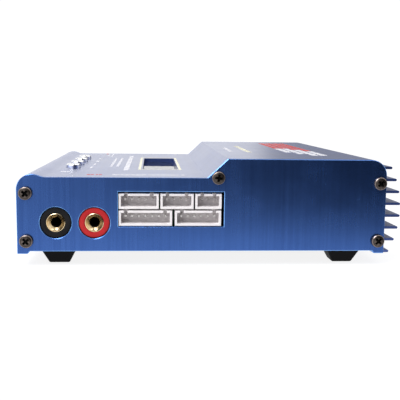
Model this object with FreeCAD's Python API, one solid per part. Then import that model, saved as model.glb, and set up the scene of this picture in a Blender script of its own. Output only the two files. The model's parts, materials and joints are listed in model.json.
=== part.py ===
import FreeCAD, Part
import math
import os

# Balance battery charger in an extruded aluminium case, in millimetres.
# +X runs along the extrusion to the output end, +Y from the low control side to the finned side,
# +Z is up. The origin is at the middle of the base, on the surface that the feet stand on.
# Inside this file a place across the case is given as "across", measured from the outside of the
# low side wall, and a height as "rise", measured from the underside of the bottom plate.

V = FreeCAD.Vector
AXIS_X = V(1, 0, 0)
AXIS_Y = V(0, 1, 0)
AXIS_Z = V(0, 0, 1)

# ---------------------------------------------------------------- case
case_length = 135.0        # over both end plates
body_width = 138.4         # low side wall to finned wall, without the fins
high_rise = 34.8           # top of the high panel
step_drop = 7.2            # the low panel lies this far under the high panel
bead_height = 1.1          # rounded bead along the low side, above the low panel
bead_across = 5.7          # crest of the bead, and radius of the corner under it
bead_end = 10.8            # where the bead has faded into the low panel
step_across = 70.2         # foot of the sloped step
step_run = 7.6             # width of the sloped step
high_corner = 6.0          # outside corner of the high panel
wall = 2.0                 # low side wall and panels
fin_wall = 3.0             # finned side wall
inner_corner = 3.7
leg_drop = 1.0             # the side walls reach this far under the bottom plate
leg_foot = 3.9             # width of a leg at its lowest edge
leg_width = 4.6            # width of a leg at the bottom plate
leg_top = 2.6              # top of the thick part of a leg
boss_radius = 2.6          # screw channels that run along the case
groove_depth = 2.4
slide_gap = 0.1            # bottom plate in its grooves

fin_count = 8
fin_thickness = 1.0
fin_top_drop = 3.1         # middle of the top fin, under the high panel
fin_reach = 6.4            # longest fin beyond the finned wall
fin_bulge = 3.85           # the end fins are this much shorter
fin_root = 2.0             # sunk into the wall

plate_thickness = 2.0      # end plates
bottom_thickness = 1.2
bottom_vent = (26.0, 2.4)
bottom_vent_count = 6
bottom_vent_pitch = 6.0

# ---------------------------------------------------------------- screws
screw_shank = 1.4          # radius of the end plate screws
screw_length = 10.0        # reach into the screw channels
screw_head = 2.5
screw_head_height = 1.7
screw_clearance = 0.05     # round a shank in its own hole
small_shank = 1.0          # radius of the board screws
small_head = 2.2
small_head_height = 1.3
front_screw_bite = 3.5     # small screws past the board or plate they hold
power_screw_bite = 1.2
long_screw_bite = 3.0
short_screw_bite = 1.4
cross_width = 0.75
cross_depth = 0.9
cross_reach = 1.3          # length of the cross, as a share of the head radius
crown_share = 0.55         # rounding of a head, as a share of its height
low_screw_across = 3.45
fin_screw_inset = 2.65
lower_screw_rise = 3.9
low_screw_drop = 7.0       # under the crest of the bead
high_screw_drop = 8.9      # under the high panel
step_screw = (4.1, 0.1)    # from the foot of the step

# ---------------------------------------------------------------- feet
foot_height = 5.8
foot_rim = 1.0
foot_top = 12.5
foot_bottom = 7.6
foot_insets = {"output": 11.0, "input": 16.0}      # from each end plate's face
foot_corner = 0.12         # corner radius, as a share of the side
low_foot_across = 14.5
high_foot_inset = 14.2     # from the finned wall

# ---------------------------------------------------------------- display and buttons
display_x = -0.5
display_across = 53.2
display_opening = (62.2, 15.0)
window_margin = 3.2
window_thickness = 1.0
bezel_size = (72.0, 26.0)
bezel_wall = 0.8
bezel_opening = (65.0, 15.6)
bezel_gap = 0.2            # under the clear window
glass_size = (69.6, 23.6)
glass_thickness = 2.0
display_board_size = (72.0, 34.0)

button_pitch = 17.0
button_names = ("stop_button", "decrease_button", "increase_button", "start_button")
button_across = 16.2
button_radius = 3.0
button_proud = 2.0
button_crown = 0.8
button_flange = 3.9
flange_thickness = 0.8
button_hole_gap = 0.2
button_rest_gap = 0.2
button_travel = 0.5
stem_radius = 1.75
stem_gap = 0.05
stem_engaged = 0.9
switch_size = 6.0
switch_height = 3.5

# ---------------------------------------------------------------- boards
board_thickness = 1.6
standoff_height = 3.0
standoff_radius = 2.5
post_height = 9.0
board_edge = 1.2           # between the two lower boards
charger_board_gap = (4.5, 3.5)     # to the input and output end plates
charger_board_across = (7.0, 77.0)
socket_notch_gap = 1.3     # charger board to the socket flanges and tails
power_board_gap = 5.5      # power board to the end plates and the outside of the finned wall
front_board_half = 42.3
front_board_across = (10.0, 70.5)
front_posts = ((36.0, 14.0), (39.4, 66.0))
power_post_x = 38.0
power_post_inset = (5.8, 6.9)      # from the two long edges of the power board

# ---------------------------------------------------------------- output end
socket_across = (14.2, 28.35)
socket_rise = 10.7
socket_radius = 5.65
socket_hole_gap = 0.25
socket_flange = 6.7
socket_flange_thickness = 2.0
socket_barrel_step = 0.6   # barrel behind the flange, under the front's radius
socket_recess = 0.3        # face of a socket behind the plate's face
socket_depth = 17.0
contact_bore = 2.0
contact_bore_length = 15.0
contact_radius = 3.0
contact_collar = 3.5
contact_collar_depth = 1.6
contact_funnel = 1.35
contact_tail = 3.0
contact_tail_radius = 1.5
socket_nut = 3.2
socket_nut_thickness = 2.2
press_gap = 0.02           # round a piece that is pressed or moulded in

pin_pitch = 2.5
pin_side = 0.64
header_end = 2.45          # end of a header to its first pin
header_height = 5.75
header_depth = 7.0
header_floor = 1.2
header_wall = 0.85
header_key = (1.3, 2.0, 4.0)       # width, inset from the end, depth
header_recess = 0.5        # front of a header behind the plate's face
pin_offset = 0.6           # pin row above the middle of its header
pin_setback = 2.0
pin_tail = 2.4
header_row_pitch = 6.35
header_first_rise = 9.5
header_first_across = 37.3
header_rows = (((7, 6), 1.0), ((5, 4, 3), 0.6))
header_window_gap = (0.25, 0.95, 0.3, 0.8)     # low side, fin side, below, above
balance_board_margin = 1.2

# ---------------------------------------------------------------- input end
inlet_across = 90.9
inlet_rise = 18.05
inlet_flange = (26.0, 20.5)
inlet_flange_thickness = 1.2
inlet_rim = (1.1, 0.5)     # width and height
inlet_corner = 1.5
inlet_body = (24.0, 18.5)
inlet_depth = 17.0
inlet_cavity = 14.0
inlet_lobe = 4.3
inlet_top_lobe = 2.35
inlet_low_lobe = (4.8, -2.55)
inlet_pin = 1.2
inlet_pin_setback = 2.5
inlet_tab = 4.0
cutout_gap = 0.15

jack_across = (66.1, 75.8)
jack_rise = (7.6, 19.25)
jack_bore_place = (71.4, 14.4)
jack_bore = 3.3
jack_bore_depth = 10.0
jack_depth = 14.0
jack_pin = 1.15
jack_pin_setback = 1.2

sensor_across = 31.05
sensor_rise = 11.65
sensor_pins = 3
sensor_slot = (10.1, 3.35)
sensor_notch = (2.2, 1.85)
sensor_board_size = (16.0, 15.0)
sensor_board_start = 25.0

vent_slot = (12.0, 3.0)
vent_low_across = 15.2
vent_high_across = 32.0
vent_middle_rise = 12.15
vent_pitch = 6.8

# ---------------------------------------------------------------- fan
fan_size = 20.0
fan_depth = 10.0
fan_across = 23.6
fan_rise = 12.15
fan_gap = 3.0              # sensor board to fan bracket
fan_notch_gap = 0.6        # fan to the charger board round it
fan_bore = 9.6
fan_tip = 9.1
fan_hub = 4.3
fan_hub_length = 6.6
fan_rotor_gap = 0.8        # bracket to the rotor
blade_root = 0.6           # blade inside the hub
fan_boss = 4.4
fan_boss_length = 1.8
fan_strut = 1.6
fan_shaft = 0.75
fan_shaft_gap = 0.05
fan_blades = 7
blade_thickness = 0.7
blade_tilt = 38.0
blade_chord = 6.4
fan_screw_pitch = 16.0
bracket_thickness = 1.0
bracket_foot = 7.0

# ---------------------------------------------------------------- power parts
transistor_size = (10.0, 4.5, 15.5)
transistor_leg = (0.4, 0.8, 1.3)    # half width, then its two faces behind the front
transistor_leg_pitch = 2.54
transistor_x = (-42.0, -24.0, 6.0, 24.0)
transistor_rise = 7.4
pad_thickness = 0.3
pad_margin = 1.5
clamp_size = (6.0, 2.0)    # height and thickness
clamp_rise = 15.0
clamp_screw_x = (-33.0, 15.0)
clamp_screw_bite = 1.8
transformer_place = (-4.0, 104.0)
transformer_core_size = (28.0, 30.0, 24.0)
core_limb = 6.0
winding_gap = 0.3          # wound bobbin to the limbs beside it
bulk_capacitor_place = (32.0, 100.0)
bulk_capacitor = (9.0, 26.0)
filter_capacitor = (4.0, 8.4)
filter_capacitor_x = (-22.0, -11.0, 12.0, 23.0)
filter_capacitor_across = 44.0
inductor_x = (-28.0, 28.0)
inductor_across = 30.0
inductor_core = (3.5, 7.0, 5.6)
inductor_wire = 0.8
lead_side = 0.8
lead_spread = 3.75
fuse_place = (-50.0, 114.0)
fuse = (2.6, 20.0)
fuse_cap = (2.9, 5.0)
fuse_lift = 1.2            # fuse above its board
clip_thickness = 2.0
processor_side = 12.0
processor_height = 1.2
buzzer = (4.5, 6.0)
buzzer_place = (40.0, 50.0)

# ---------------------------------------------------------------- places that follow
low_rise = high_rise - step_drop
bead_rise = low_rise + bead_height
width = body_width + fin_reach
half_length = case_length / 2
shell_half = half_length - plate_thickness
ceiling = low_rise - wall
fin_pitch = (high_rise - fin_top_drop + leg_drop - fin_thickness / 2) / (fin_count - 1)
high_foot_across = body_width - high_foot_inset
power_board_across = (charger_board_across[1] + board_edge, body_width - power_board_gap)
charger_base = bottom_thickness + standoff_height
charger_top = charger_base + board_thickness
front_base = charger_top + post_height
front_top = front_base + board_thickness


def across(d):
    return d - width / 2


def rise(h):
    return foot_height + h


def point(x, d, h):
    return V(x, across(d), rise(h))


def block(x0, x1, d0, d1, h0, h1):
    return Part.makeBox(x1 - x0, d1 - d0, h1 - h0, point(x0, d0, h0))


def rod(radius, length, x, d, h, axis=AXIS_Z):
    return Part.makeCylinder(radius, length, point(x, d, h), axis)


def centred(size_x, size_d, h0, h1, x, d):
    return block(x - size_x / 2, x + size_x / 2, d - size_d / 2, d + size_d / 2, h0, h1)


def joined(shapes):
    first = shapes[0]
    return first.fuse(shapes[1:]).removeSplitter() if len(shapes) > 1 else first


def prism(edges, x0, x1):
    wire = Part.Wire(Part.__sortEdges__(edges))
    return Part.Face(wire).extrude(V(x1 - x0, 0, 0))


def save(name, solids):
    shape = Part.Compound(solids) if isinstance(solids, list) else solids
    shape.exportStep("parts/" + name + ".step")


def section_line(x, start, end):
    return Part.LineSegment(point(x, *start), point(x, *end)).toShape()


def section_arc(x, start, middle, end):
    return Part.Arc(point(x, *start), point(x, *middle), point(x, *end)).toShape()


def corner_arc(x, centre, radius, angle0, angle1):
    ends = []
    for angle in (angle0, (angle0 + angle1) / 2, angle1):
        turn = math.radians(angle)
        ends.append((centre[0] + radius * math.cos(turn), centre[1] + radius * math.sin(turn)))
    return section_arc(x, *ends)


def bead_curve(x):
    """Two equal arcs that lead from the crest of the bead down to the low panel."""
    run = bead_end - bead_across
    radius = (run ** 2 + bead_height ** 2) / (4 * bead_height)
    turn = math.degrees(math.asin(run / 2 / radius))
    crest = corner_arc(x, (bead_across, bead_rise - radius), radius, 90, 90 - turn)
    trough = corner_arc(x, (bead_end, low_rise + radius), radius, 270 - turn, 270)
    return [crest, trough]


def case_outline(x):
    """Outline shared by the extrusion and both end plates, legs included."""
    corner = bead_rise - bead_across
    shoulder = high_rise - high_corner
    inner_leg = body_width - leg_width
    step_end = step_across + step_run
    edges = [
        section_line(x, (0, -leg_drop), (0, corner)),
        corner_arc(x, (bead_across, corner), bead_across, 180, 90),
        section_line(x, (bead_end, low_rise), (step_across, low_rise)),
        section_line(x, (step_across, low_rise), (step_end, high_rise)),
        section_line(x, (step_end, high_rise), (body_width - high_corner, high_rise)),
        corner_arc(x, (body_width - high_corner, shoulder), high_corner, 90, 0),
        section_line(x, (body_width, shoulder), (body_width, -leg_drop)),
        section_line(x, (body_width, -leg_drop), (body_width - leg_foot, -leg_drop)),
        section_line(x, (body_width - leg_foot, -leg_drop), (inner_leg, 0)),
        section_line(x, (inner_leg, 0), (leg_width, 0)),
        section_line(x, (leg_width, 0), (leg_foot, -leg_drop)),
        section_line(x, (leg_foot, -leg_drop), (0, -leg_drop)),
    ]
    return edges + bead_curve(x)


def cavity_outline(x):
    """Inside of the extrusion above the legs."""
    slope = math.tan(math.atan2(step_drop, step_run) / 2) * wall
    step_low = step_across + slope
    step_high = step_across + step_run + slope
    roof = high_rise - wall
    far = body_width - fin_wall
    near_corner = (wall + inner_corner, ceiling - inner_corner)
    far_corner = (far - inner_corner, roof - inner_corner)
    return [
        section_line(x, (wall, leg_top), (wall, near_corner[1])),
        corner_arc(x, near_corner, inner_corner, 180, 90),
        section_line(x, (near_corner[0], ceiling), (step_low, ceiling)),
        section_line(x, (step_low, ceiling), (step_high, roof)),
        section_line(x, (step_high, roof), (far_corner[0], roof)),
        corner_arc(x, far_corner, inner_corner, 90, 0),
        section_line(x, (far, far_corner[1]), (far, leg_top)),
        section_line(x, (far, leg_top), (wall, leg_top)),
    ]


def screw_places():
    far = body_width - fin_screw_inset
    step = (step_across + step_screw[0], low_rise + step_screw[1])
    return [
        (low_screw_across, lower_screw_rise),
        (low_screw_across, bead_rise - low_screw_drop),
        step,
        (far, high_rise - high_screw_drop),
        (far, lower_screw_rise),
    ]


def fin_tip_reach(index):
    """Fin tips lie on an arc that bulges out between the first and the last fin."""
    half_span = (fin_count - 1) / 2 * fin_pitch
    radius = (half_span ** 2 + fin_bulge ** 2) / (2 * fin_bulge)
    offsets = [(i - (fin_count - 1) / 2) * fin_pitch for i in range(fin_count)]
    reaches = [math.sqrt(radius ** 2 - offset ** 2) for offset in offsets]
    return fin_reach + reaches[index] - max(reaches)


def fin(index):
    low = index * fin_pitch - leg_drop
    tip = body_width + fin_tip_reach(index)
    half = fin_thickness / 2
    root = body_width - fin_root
    straight = tip - half
    x = -shell_half
    edges = [
        section_line(x, (root, low), (straight, low)),
        corner_arc(x, (straight, low + half), half, -90, 90),
        section_line(x, (straight, low + fin_thickness), (root, low + fin_thickness)),
        section_line(x, (root, low + fin_thickness), (root, low)),
    ]
    return prism(edges, x, shell_half)


def button_places():
    start = -button_pitch * (len(button_names) - 1) / 2
    return [(name, start + i * button_pitch) for i, name in enumerate(button_names)]


def transistor_face():
    """Inner face of the insulating pad on the finned wall."""
    return body_width - fin_wall - pad_thickness


def housing_extrusion():
    shell = prism(case_outline(-shell_half), -shell_half, shell_half)
    cavity = prism(cavity_outline(-shell_half - 1), -shell_half - 1, shell_half + 1)
    ends = shell_half + 1
    mouth = block(-ends, ends, leg_width, body_width - leg_width, -leg_drop - 1, leg_top + 0.01)
    shell = shell.cut([cavity, mouth])
    adds = [fin(i) for i in range(fin_count)]
    for d, h in screw_places():
        adds.append(rod(boss_radius, 2 * shell_half, -shell_half, d, h, AXIS_X))
    shell = shell.fuse(adds)
    groove_top = bottom_thickness + slide_gap
    cuts = [
        block(-ends, ends, leg_width - groove_depth, leg_width + 1, 0, groove_top),
        block(-ends, ends, body_width - leg_width - 1, body_width - leg_width + groove_depth, 0,
              groove_top),
    ]
    for d, h in screw_places():
        hole = screw_shank + screw_clearance
        cuts.append(rod(hole, 2 * ends, -ends, d, h, AXIS_X))
    size_x, size_d = display_opening
    cuts.append(centred(size_x, size_d, ceiling - 1, low_rise + 1, display_x, display_across))
    for name, x in button_places():
        hole = button_radius + button_hole_gap
        cuts.append(rod(hole, wall + 2, x, button_across, ceiling - 1))
    for x in clamp_screw_x:
        hole = small_shank + screw_clearance
        start = body_width - fin_wall - 1
        rise_middle = clamp_rise + clamp_size[0] / 2
        cuts.append(rod(hole, clamp_screw_bite + 1.1, x, start, rise_middle, AXIS_Y))
    return shell.cut(cuts).removeSplitter()


def bottom_plate():
    edge = leg_width - groove_depth + slide_gap
    plate = block(-shell_half, shell_half, edge, body_width - edge, 0, bottom_thickness)
    cuts = []
    long, short = bottom_vent
    middle = (low_foot_across + high_foot_across) / 2
    for column in (-1, 1):
        for i in range(bottom_vent_count):
            d = middle + (i - (bottom_vent_count - 1) / 2) * bottom_vent_pitch
            x = column * long * 0.75
            cuts.append(slot_cut(x, d, long, short))
    for x, d in standoff_places():
        hole = small_shank + screw_clearance
        cuts.append(rod(hole, bottom_thickness + 2, x, d, -1))
    return plate.cut(cuts)


def slot_cut(x, d, long, short):
    """Round-ended slot through the bottom plate, running along X."""
    half = (long - short) / 2
    height = bottom_thickness + 2
    middle = block(x - half, x + half, d - short / 2, d + short / 2, -1, height - 1)
    ends = [rod(short / 2, height, x + side * half, d, -1) for side in (-1, 1)]
    return middle.fuse(ends)


def plate_slot(x0, x1, d, h, long, short):
    """Round-ended slot through an end plate, running across the case."""
    half = (long - short) / 2
    middle = block(x0, x1, d - half, d + half, h - short / 2, h + short / 2)
    ends = [rod(short / 2, x1 - x0, x0, d + side * half, h, AXIS_X) for side in (-1, 1)]
    return middle.fuse(ends)


def end_plate(side):
    start = shell_half if side > 0 else -half_length
    plate = prism(case_outline(start), start, start + plate_thickness)
    hole = screw_shank + screw_clearance
    cuts = [rod(hole, plate_thickness + 2, start - 1, d, h, AXIS_X) for d, h in screw_places()]
    return plate.cut(cuts), start - 1, start + plate_thickness + 1


def output_end_plate():
    plate, x0, x1 = end_plate(1)
    hole = socket_radius + socket_hole_gap
    cuts = [rod(hole, x1 - x0, x0, d, socket_rise, AXIS_X) for d in socket_across]
    cuts.append(block(x0, x1, *header_opening()))
    return plate.cut(cuts)


def input_end_plate():
    plate, x0, x1 = end_plate(-1)
    inlet_d, inlet_h = (size / 2 + cutout_gap for size in inlet_body)
    cuts = [
        block(x0, x1, inlet_across - inlet_d, inlet_across + inlet_d, inlet_rise - inlet_h,
              inlet_rise + inlet_h),
        block(x0, x1, jack_across[0] - cutout_gap, jack_across[1] + cutout_gap,
              jack_rise[0] - cutout_gap, jack_rise[1] + cutout_gap),
    ]
    for row in (-1, 0, 1):
        h = vent_middle_rise + row * vent_pitch
        cuts.append(plate_slot(x0, x1, vent_low_across, h, *vent_slot))
        if row != 0:
            cuts.append(plate_slot(x0, x1, vent_high_across, h, *vent_slot))
    half_d, half_h = sensor_slot[0] / 2, sensor_slot[1] / 2
    opening = block(x0, x1, sensor_across - half_d, sensor_across + half_d, sensor_rise - half_h,
                    sensor_rise + half_h)
    corner = block(x0, x1, sensor_across - half_d, sensor_across - half_d + sensor_notch[0],
                   sensor_rise + half_h - sensor_notch[1], sensor_rise + half_h)
    cuts.append(opening.cut(corner))
    return plate.cut(cuts)


def cross_cut(size, depth, x, d, h, axis):
    """Crossed recess in a screw head whose face is at the given point."""
    bars = []
    for turn in (0, 90):
        bar = Part.makeBox(size, cross_width, depth + 1, V(-size / 2, -cross_width / 2, -depth))
        bar.rotate(V(0, 0, 0), AXIS_Z, turn + 45)
        bars.append(bar)
    cut = bars[0].fuse(bars[1])
    cut.Placement = FreeCAD.Placement(point(x, d, h), FreeCAD.Rotation(AXIS_Z, axis))
    return cut


def screw(shank, reach, head, head_height, x, d, h, axis):
    """Pan-head screw whose head sits on the given point; axis points out of the head."""
    neck = V(axis).multiply(-reach)
    base = point(x, d, h)
    stem = Part.makeCylinder(shank, reach, base.add(neck), axis)
    top = Part.makeCylinder(head, head_height, base, axis)
    crown = [e for e in top.Edges if abs((e.CenterOfMass.sub(base)).dot(axis) - head_height) < 1e-6]
    top = top.makeFillet(head_height * crown_share, crown)
    face = V(axis).multiply(head_height)
    cut = cross_cut(head * cross_reach, cross_depth, x + face.x, d + face.y, h + face.z, axis)
    return top.cut(cut).fuse(stem).removeSplitter()


def end_screws(side):
    x = side * half_length
    axis = V(side, 0, 0)
    reach = plate_thickness + screw_length
    sizes = (screw_shank, reach, screw_head, screw_head_height)
    return [screw(*sizes, x, d, h, axis) for d, h in screw_places()]


def rounded_square(size, height):
    half = size / 2
    base = Part.makeBox(size, size, height, V(-half, -half, 0))
    corners = [e for e in base.Edges if abs(e.tangentAt(0).z) > 0.9]
    return base.makeFillet(size * foot_corner, corners)


def foot(x, d):
    """Tapered square pad: a short rim under the bottom plate, then sloping sides."""
    rim = rounded_square(foot_top, foot_rim)
    rim.translate(V(0, 0, foot_height - foot_rim))
    outlines = []
    for size, z in ((foot_bottom, 0.0), (foot_top, foot_height - foot_rim)):
        slab = rounded_square(size, foot_rim)
        outline = [f for f in slab.Faces if abs(f.CenterOfMass.z) < 1e-6][0].OuterWire
        outline.translate(V(0, 0, z))
        outlines.append(outline)
    taper = Part.makeLoft(outlines, True)
    shape = rim.fuse(taper).removeSplitter()
    shape.translate(V(x, across(d), 0))
    return shape


def foot_places():
    places = []
    for end, side in (("output", 1), ("input", -1)):
        x = half_length - foot_insets[end]
        places.append(("foot_low_" + end, side * x, low_foot_across))
        places.append(("foot_high_" + end, side * x, high_foot_across))
    return places


def display_window():
    size_x, size_d = display_opening
    size_x += 2 * window_margin
    size_d += 2 * window_margin
    return centred(size_x, size_d, ceiling - window_thickness, ceiling, display_x, display_across)


def display_top():
    return ceiling - window_thickness - bezel_gap


def display_base():
    return front_top + board_thickness


def display_bezel():
    top = display_top()
    base = display_base()
    shell = centred(*bezel_size, base, top, display_x, display_across)
    inside = [size - 2 * bezel_wall for size in bezel_size]
    shell = shell.cut(centred(*inside, base - 1, top - bezel_wall, display_x, display_across))
    return shell.cut(centred(*bezel_opening, base, top + 1, display_x, display_across))


def display_glass():
    top = display_top() - bezel_wall
    return centred(*glass_size, top - glass_thickness, top, display_x, display_across)


def display_backlight():
    top = display_top() - bezel_wall - glass_thickness
    return centred(*glass_size, display_base(), top, display_x, display_across)


def button(x):
    """Round cap with a retaining flange under the panel and a stem into its switch."""
    crown = low_rise + button_proud
    flange_top = ceiling - button_rest_gap
    flange_base = flange_top - flange_thickness
    cap = rod(button_radius, crown - flange_base, x, button_across, flange_base)
    edge = [e for e in cap.Edges if abs(e.CenterOfMass.z - rise(crown)) < 1e-6]
    cap = cap.makeFillet(button_crown, edge)
    flange = rod(button_flange, flange_thickness, x, button_across, flange_base)
    stem_base = front_top + switch_height - stem_engaged
    stem = rod(stem_radius, flange_base - stem_base, x, button_across, stem_base)
    return cap.fuse([flange, stem]).removeSplitter()


def button_switch(x):
    body = centred(switch_size, switch_size, front_top, front_top + switch_height, x, button_across)
    depth = stem_engaged + button_travel + button_rest_gap
    start = front_top + switch_height - depth
    return body.cut(rod(stem_radius + stem_gap, depth + 1, x, button_across, start))


def front_board():
    board = block(-front_board_half, front_board_half, *front_board_across, front_base, front_top)
    return board.cut(screw_holes(front_stack(), front_base))


def front_stack():
    return [(side * x, d) for side in (-1, 1) for x, d in front_posts]


def power_stack():
    near = power_board_across[0] + power_post_inset[0]
    far = power_board_across[1] - power_post_inset[1]
    return [(side * power_post_x, d) for side in (-1, 1) for d in (near, far)]


def standoff_places():
    return front_stack() + power_stack()


def screw_holes(places, h):
    hole = small_shank + screw_clearance
    return [rod(hole, board_thickness + 2, x, d, h - 1) for x, d in places]


def charger_board():
    x0 = charger_board_gap[0] - shell_half
    x1 = shell_half - charger_board_gap[1]
    board = block(x0, x1, *charger_board_across, charger_base, charger_top)
    notch_x = socket_tail_end() - socket_notch_gap
    notch_d = socket_across[1] + socket_flange + socket_notch_gap
    low = charger_base - 1
    high = charger_top + 1
    cuts = [block(notch_x, x1 + 1, charger_board_across[0] - 1, notch_d, low, high)]
    half = fan_size / 2 + 1.5
    end = fan_start() + bracket_thickness + fan_depth + fan_notch_gap
    cuts.append(block(x0 - 1, end, fan_across - half, fan_across + half, low, high))
    return board.cut(cuts + screw_holes(front_stack(), charger_base))


def power_board():
    half = shell_half - power_board_gap
    board = block(-half, half, *power_board_across, charger_base, charger_top)
    return board.cut(screw_holes(power_stack(), charger_base))


def standoff(x, d, h, height):
    sleeve = rod(standoff_radius, height, x, d, h)
    return sleeve.cut(rod(small_shank + screw_clearance, height + 2, x, d, h - 1))


def board_standoffs():
    """Short sleeves under the two lower boards, and long posts that carry the front board."""
    short = [standoff(x, d, bottom_thickness, standoff_height) for x, d in standoff_places()]
    long = [standoff(x, d, charger_top, post_height) for x, d in front_stack()]
    return short + long


def small_screw(x, d, h, reach, axis=AXIS_Z):
    return screw(small_shank, reach, small_head, small_head_height, x, d, h, axis)


def board_screws():
    front = [small_screw(x, d, front_top, board_thickness + front_screw_bite) for x, d in front_stack()]
    power = [small_screw(x, d, charger_top, board_thickness + power_screw_bite) for x, d in power_stack()]
    return front + power


def bottom_screws():
    down = V(0, 0, -1)
    long = bottom_thickness + standoff_height + board_thickness + long_screw_bite
    short = bottom_thickness + short_screw_bite
    front = [small_screw(x, d, 0, long, down) for x, d in front_stack()]
    power = [small_screw(x, d, 0, short, down) for x, d in power_stack()]
    return front + power


def socket_tail_end():
    return half_length - socket_depth - contact_tail - socket_nut_thickness


def socket_shell(d):
    """Insulating bush that fills the plate's hole, with a flange against its inner face."""
    x_front = half_length - socket_recess
    x_flange = shell_half - socket_flange_thickness
    x_back = half_length - socket_depth
    front = rod(socket_radius, x_front - x_flange, x_flange, d, socket_rise, AXIS_X)
    flange = rod(socket_flange, socket_flange_thickness, x_flange, d, socket_rise, AXIS_X)
    barrel = rod(socket_radius - socket_barrel_step, x_flange - x_back, x_back, d, socket_rise, AXIS_X)
    shell = front.fuse([flange, barrel])
    core = contact_radius + press_gap
    collar = contact_collar + press_gap
    depth = x_front - x_back + 2
    bore = rod(core, depth, x_back - 1, d, socket_rise, AXIS_X)
    seat = rod(collar, contact_collar_depth + 1, x_front - contact_collar_depth, d, socket_rise,
               AXIS_X)
    return shell.cut([bore, seat]).removeSplitter()


def socket_contact(d):
    """Turned sleeve with a funnel mouth, a straight bore and a threaded tail."""
    x_front = half_length - socket_recess
    x_back = half_length - socket_depth
    sleeve = rod(contact_radius, x_front - x_back, x_back, d, socket_rise, AXIS_X)
    collar = rod(contact_collar, contact_collar_depth, x_front - contact_collar_depth, d,
                 socket_rise, AXIS_X)
    x_tail = socket_tail_end()
    tail = rod(contact_tail_radius, x_back - x_tail, x_tail, d, socket_rise, AXIS_X)
    bore = rod(contact_bore, contact_bore_length + contact_funnel + 1,
               x_front - contact_bore_length - contact_funnel, d, socket_rise, AXIS_X)
    funnel = Part.makeCone(contact_bore, contact_bore + contact_funnel, contact_funnel,
                           point(x_front - contact_funnel, d, socket_rise), AXIS_X)
    return sleeve.fuse([collar, tail]).cut([bore, funnel]).removeSplitter()


def socket_hex_nut(d):
    x_end = half_length - socket_depth
    corners = []
    for i in range(7):
        turn = math.radians(60 * i)
        away = (d + socket_nut * math.cos(turn), socket_rise + socket_nut * math.sin(turn))
        corners.append(point(x_end - socket_nut_thickness, *away))
    nut = Part.Face(Part.makePolygon(corners)).extrude(V(socket_nut_thickness, 0, 0))
    hole = contact_tail_radius + press_gap
    return nut.cut(rod(hole, socket_nut_thickness + 2, x_end - socket_nut_thickness - 1, d,
                       socket_rise, AXIS_X))


def header_length(pins):
    return (pins - 1) * pin_pitch + 2 * header_end


def header_places():
    places = []
    for row, (counts, gap) in enumerate(header_rows):
        start = header_first_across
        for pins in counts:
            places.append((pins, start, header_first_rise + row * header_row_pitch))
            start += header_length(pins) + gap
    return places


def header_opening():
    """Across and rise limits of the output plate's cut-out round all the headers."""
    places = header_places()
    low, high, below, above = header_window_gap
    end = max(d + header_length(pins) for pins, d, h in places)
    top = max(h for pins, d, h in places) + header_height
    return header_first_across - low, end + high, header_first_rise - below, top + above


def header_face():
    return half_length - header_recess


def header_housing(pins, d, h, face, side):
    """Open-mouthed nylon shroud; side is the end of the case that its mouth faces."""
    length = header_length(pins)
    back = face - side * header_depth
    x0, x1 = min(face, back), max(face, back)
    body = block(x0, x1, d, d + length, h, h + header_height)
    mouth = face + side
    floor = back + side * header_floor
    c0, c1 = min(mouth, floor), max(mouth, floor)
    side_wall = header_wall + 0.1
    cuts = [block(c0, c1, d + side_wall, d + length - side_wall, h + header_wall,
                  h + header_height - header_wall)]
    key_width, key_inset, key_depth = header_key
    k0, k1 = min(mouth, face - side * key_depth), max(mouth, face - side * key_depth)
    for start in (d + key_inset, d + length - key_inset - key_width):
        cuts.append(block(k0, k1, start, start + key_width, h + header_height - header_wall - 0.5,
                          h + header_height + 1))
    return body.cut(cuts + header_pin_set(pins, d, h, face, side, press_gap))


def header_pin_set(pins, d, h, face, side, gap=0.0):
    """Square pins in a row, from inside the mouth to behind the board."""
    front = face - side * pin_setback
    back = face - side * (header_depth + board_thickness + pin_tail)
    half = pin_side / 2 + gap
    middle = h + header_height / 2 + pin_offset
    pieces = []
    for i in range(pins):
        centre = d + header_end + i * pin_pitch
        pieces.append(block(min(front, back), max(front, back), centre - half, centre + half,
                            middle - half, middle + half))
    return pieces


def sensor_header_place():
    start = sensor_across - header_length(sensor_pins) / 2
    return sensor_pins, start, sensor_rise - header_height / 2, -shell_half, -1


def header_pins():
    pieces = []
    for pins, d, h in header_places():
        pieces += header_pin_set(pins, d, h, header_face(), 1)
    return pieces + header_pin_set(*sensor_header_place())


def balance_board():
    x1 = header_face() - header_depth
    d0, d1, low, top = header_opening()
    board = block(x1 - board_thickness, x1, d0 - balance_board_margin,
                  d1 - balance_board_margin / 2, charger_top, top + balance_board_margin)
    holes = []
    for pins, d, h in header_places():
        holes += header_pin_set(pins, d, h, header_face(), 1, press_gap)
    return board.cut(holes)


def sensor_board():
    x0 = -shell_half + header_depth
    size_d, size_h = sensor_board_size
    board = block(x0, x0 + board_thickness, sensor_board_start, sensor_board_start + size_d,
                  charger_top, charger_top + size_h)
    return board.cut(header_pin_set(*sensor_header_place(), press_gap))


def inlet_lobes():
    low_d, low_h = inlet_low_lobe
    return [(0.0, inlet_top_lobe), (low_d, low_h), (-low_d, low_h)]


def inlet_plate(size, x0, x1):
    size_d, size_h = size
    plate = block(x0, x1, inlet_across - size_d / 2, inlet_across + size_d / 2,
                  inlet_rise - size_h / 2, inlet_rise + size_h / 2)
    return plate.makeFillet(inlet_corner, [e for e in plate.Edges if abs(e.tangentAt(0).x) > 0.9])


def inlet_pins(gap=0.0):
    front = -half_length - inlet_flange_thickness + inlet_pin_setback
    length = inlet_depth + inlet_tab - inlet_pin_setback + inlet_flange_thickness
    pins = []
    for d, h in inlet_lobes():
        pins.append(rod(inlet_pin + gap, length, front, inlet_across + d, inlet_rise + h, AXIS_X))
    return pins


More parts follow.
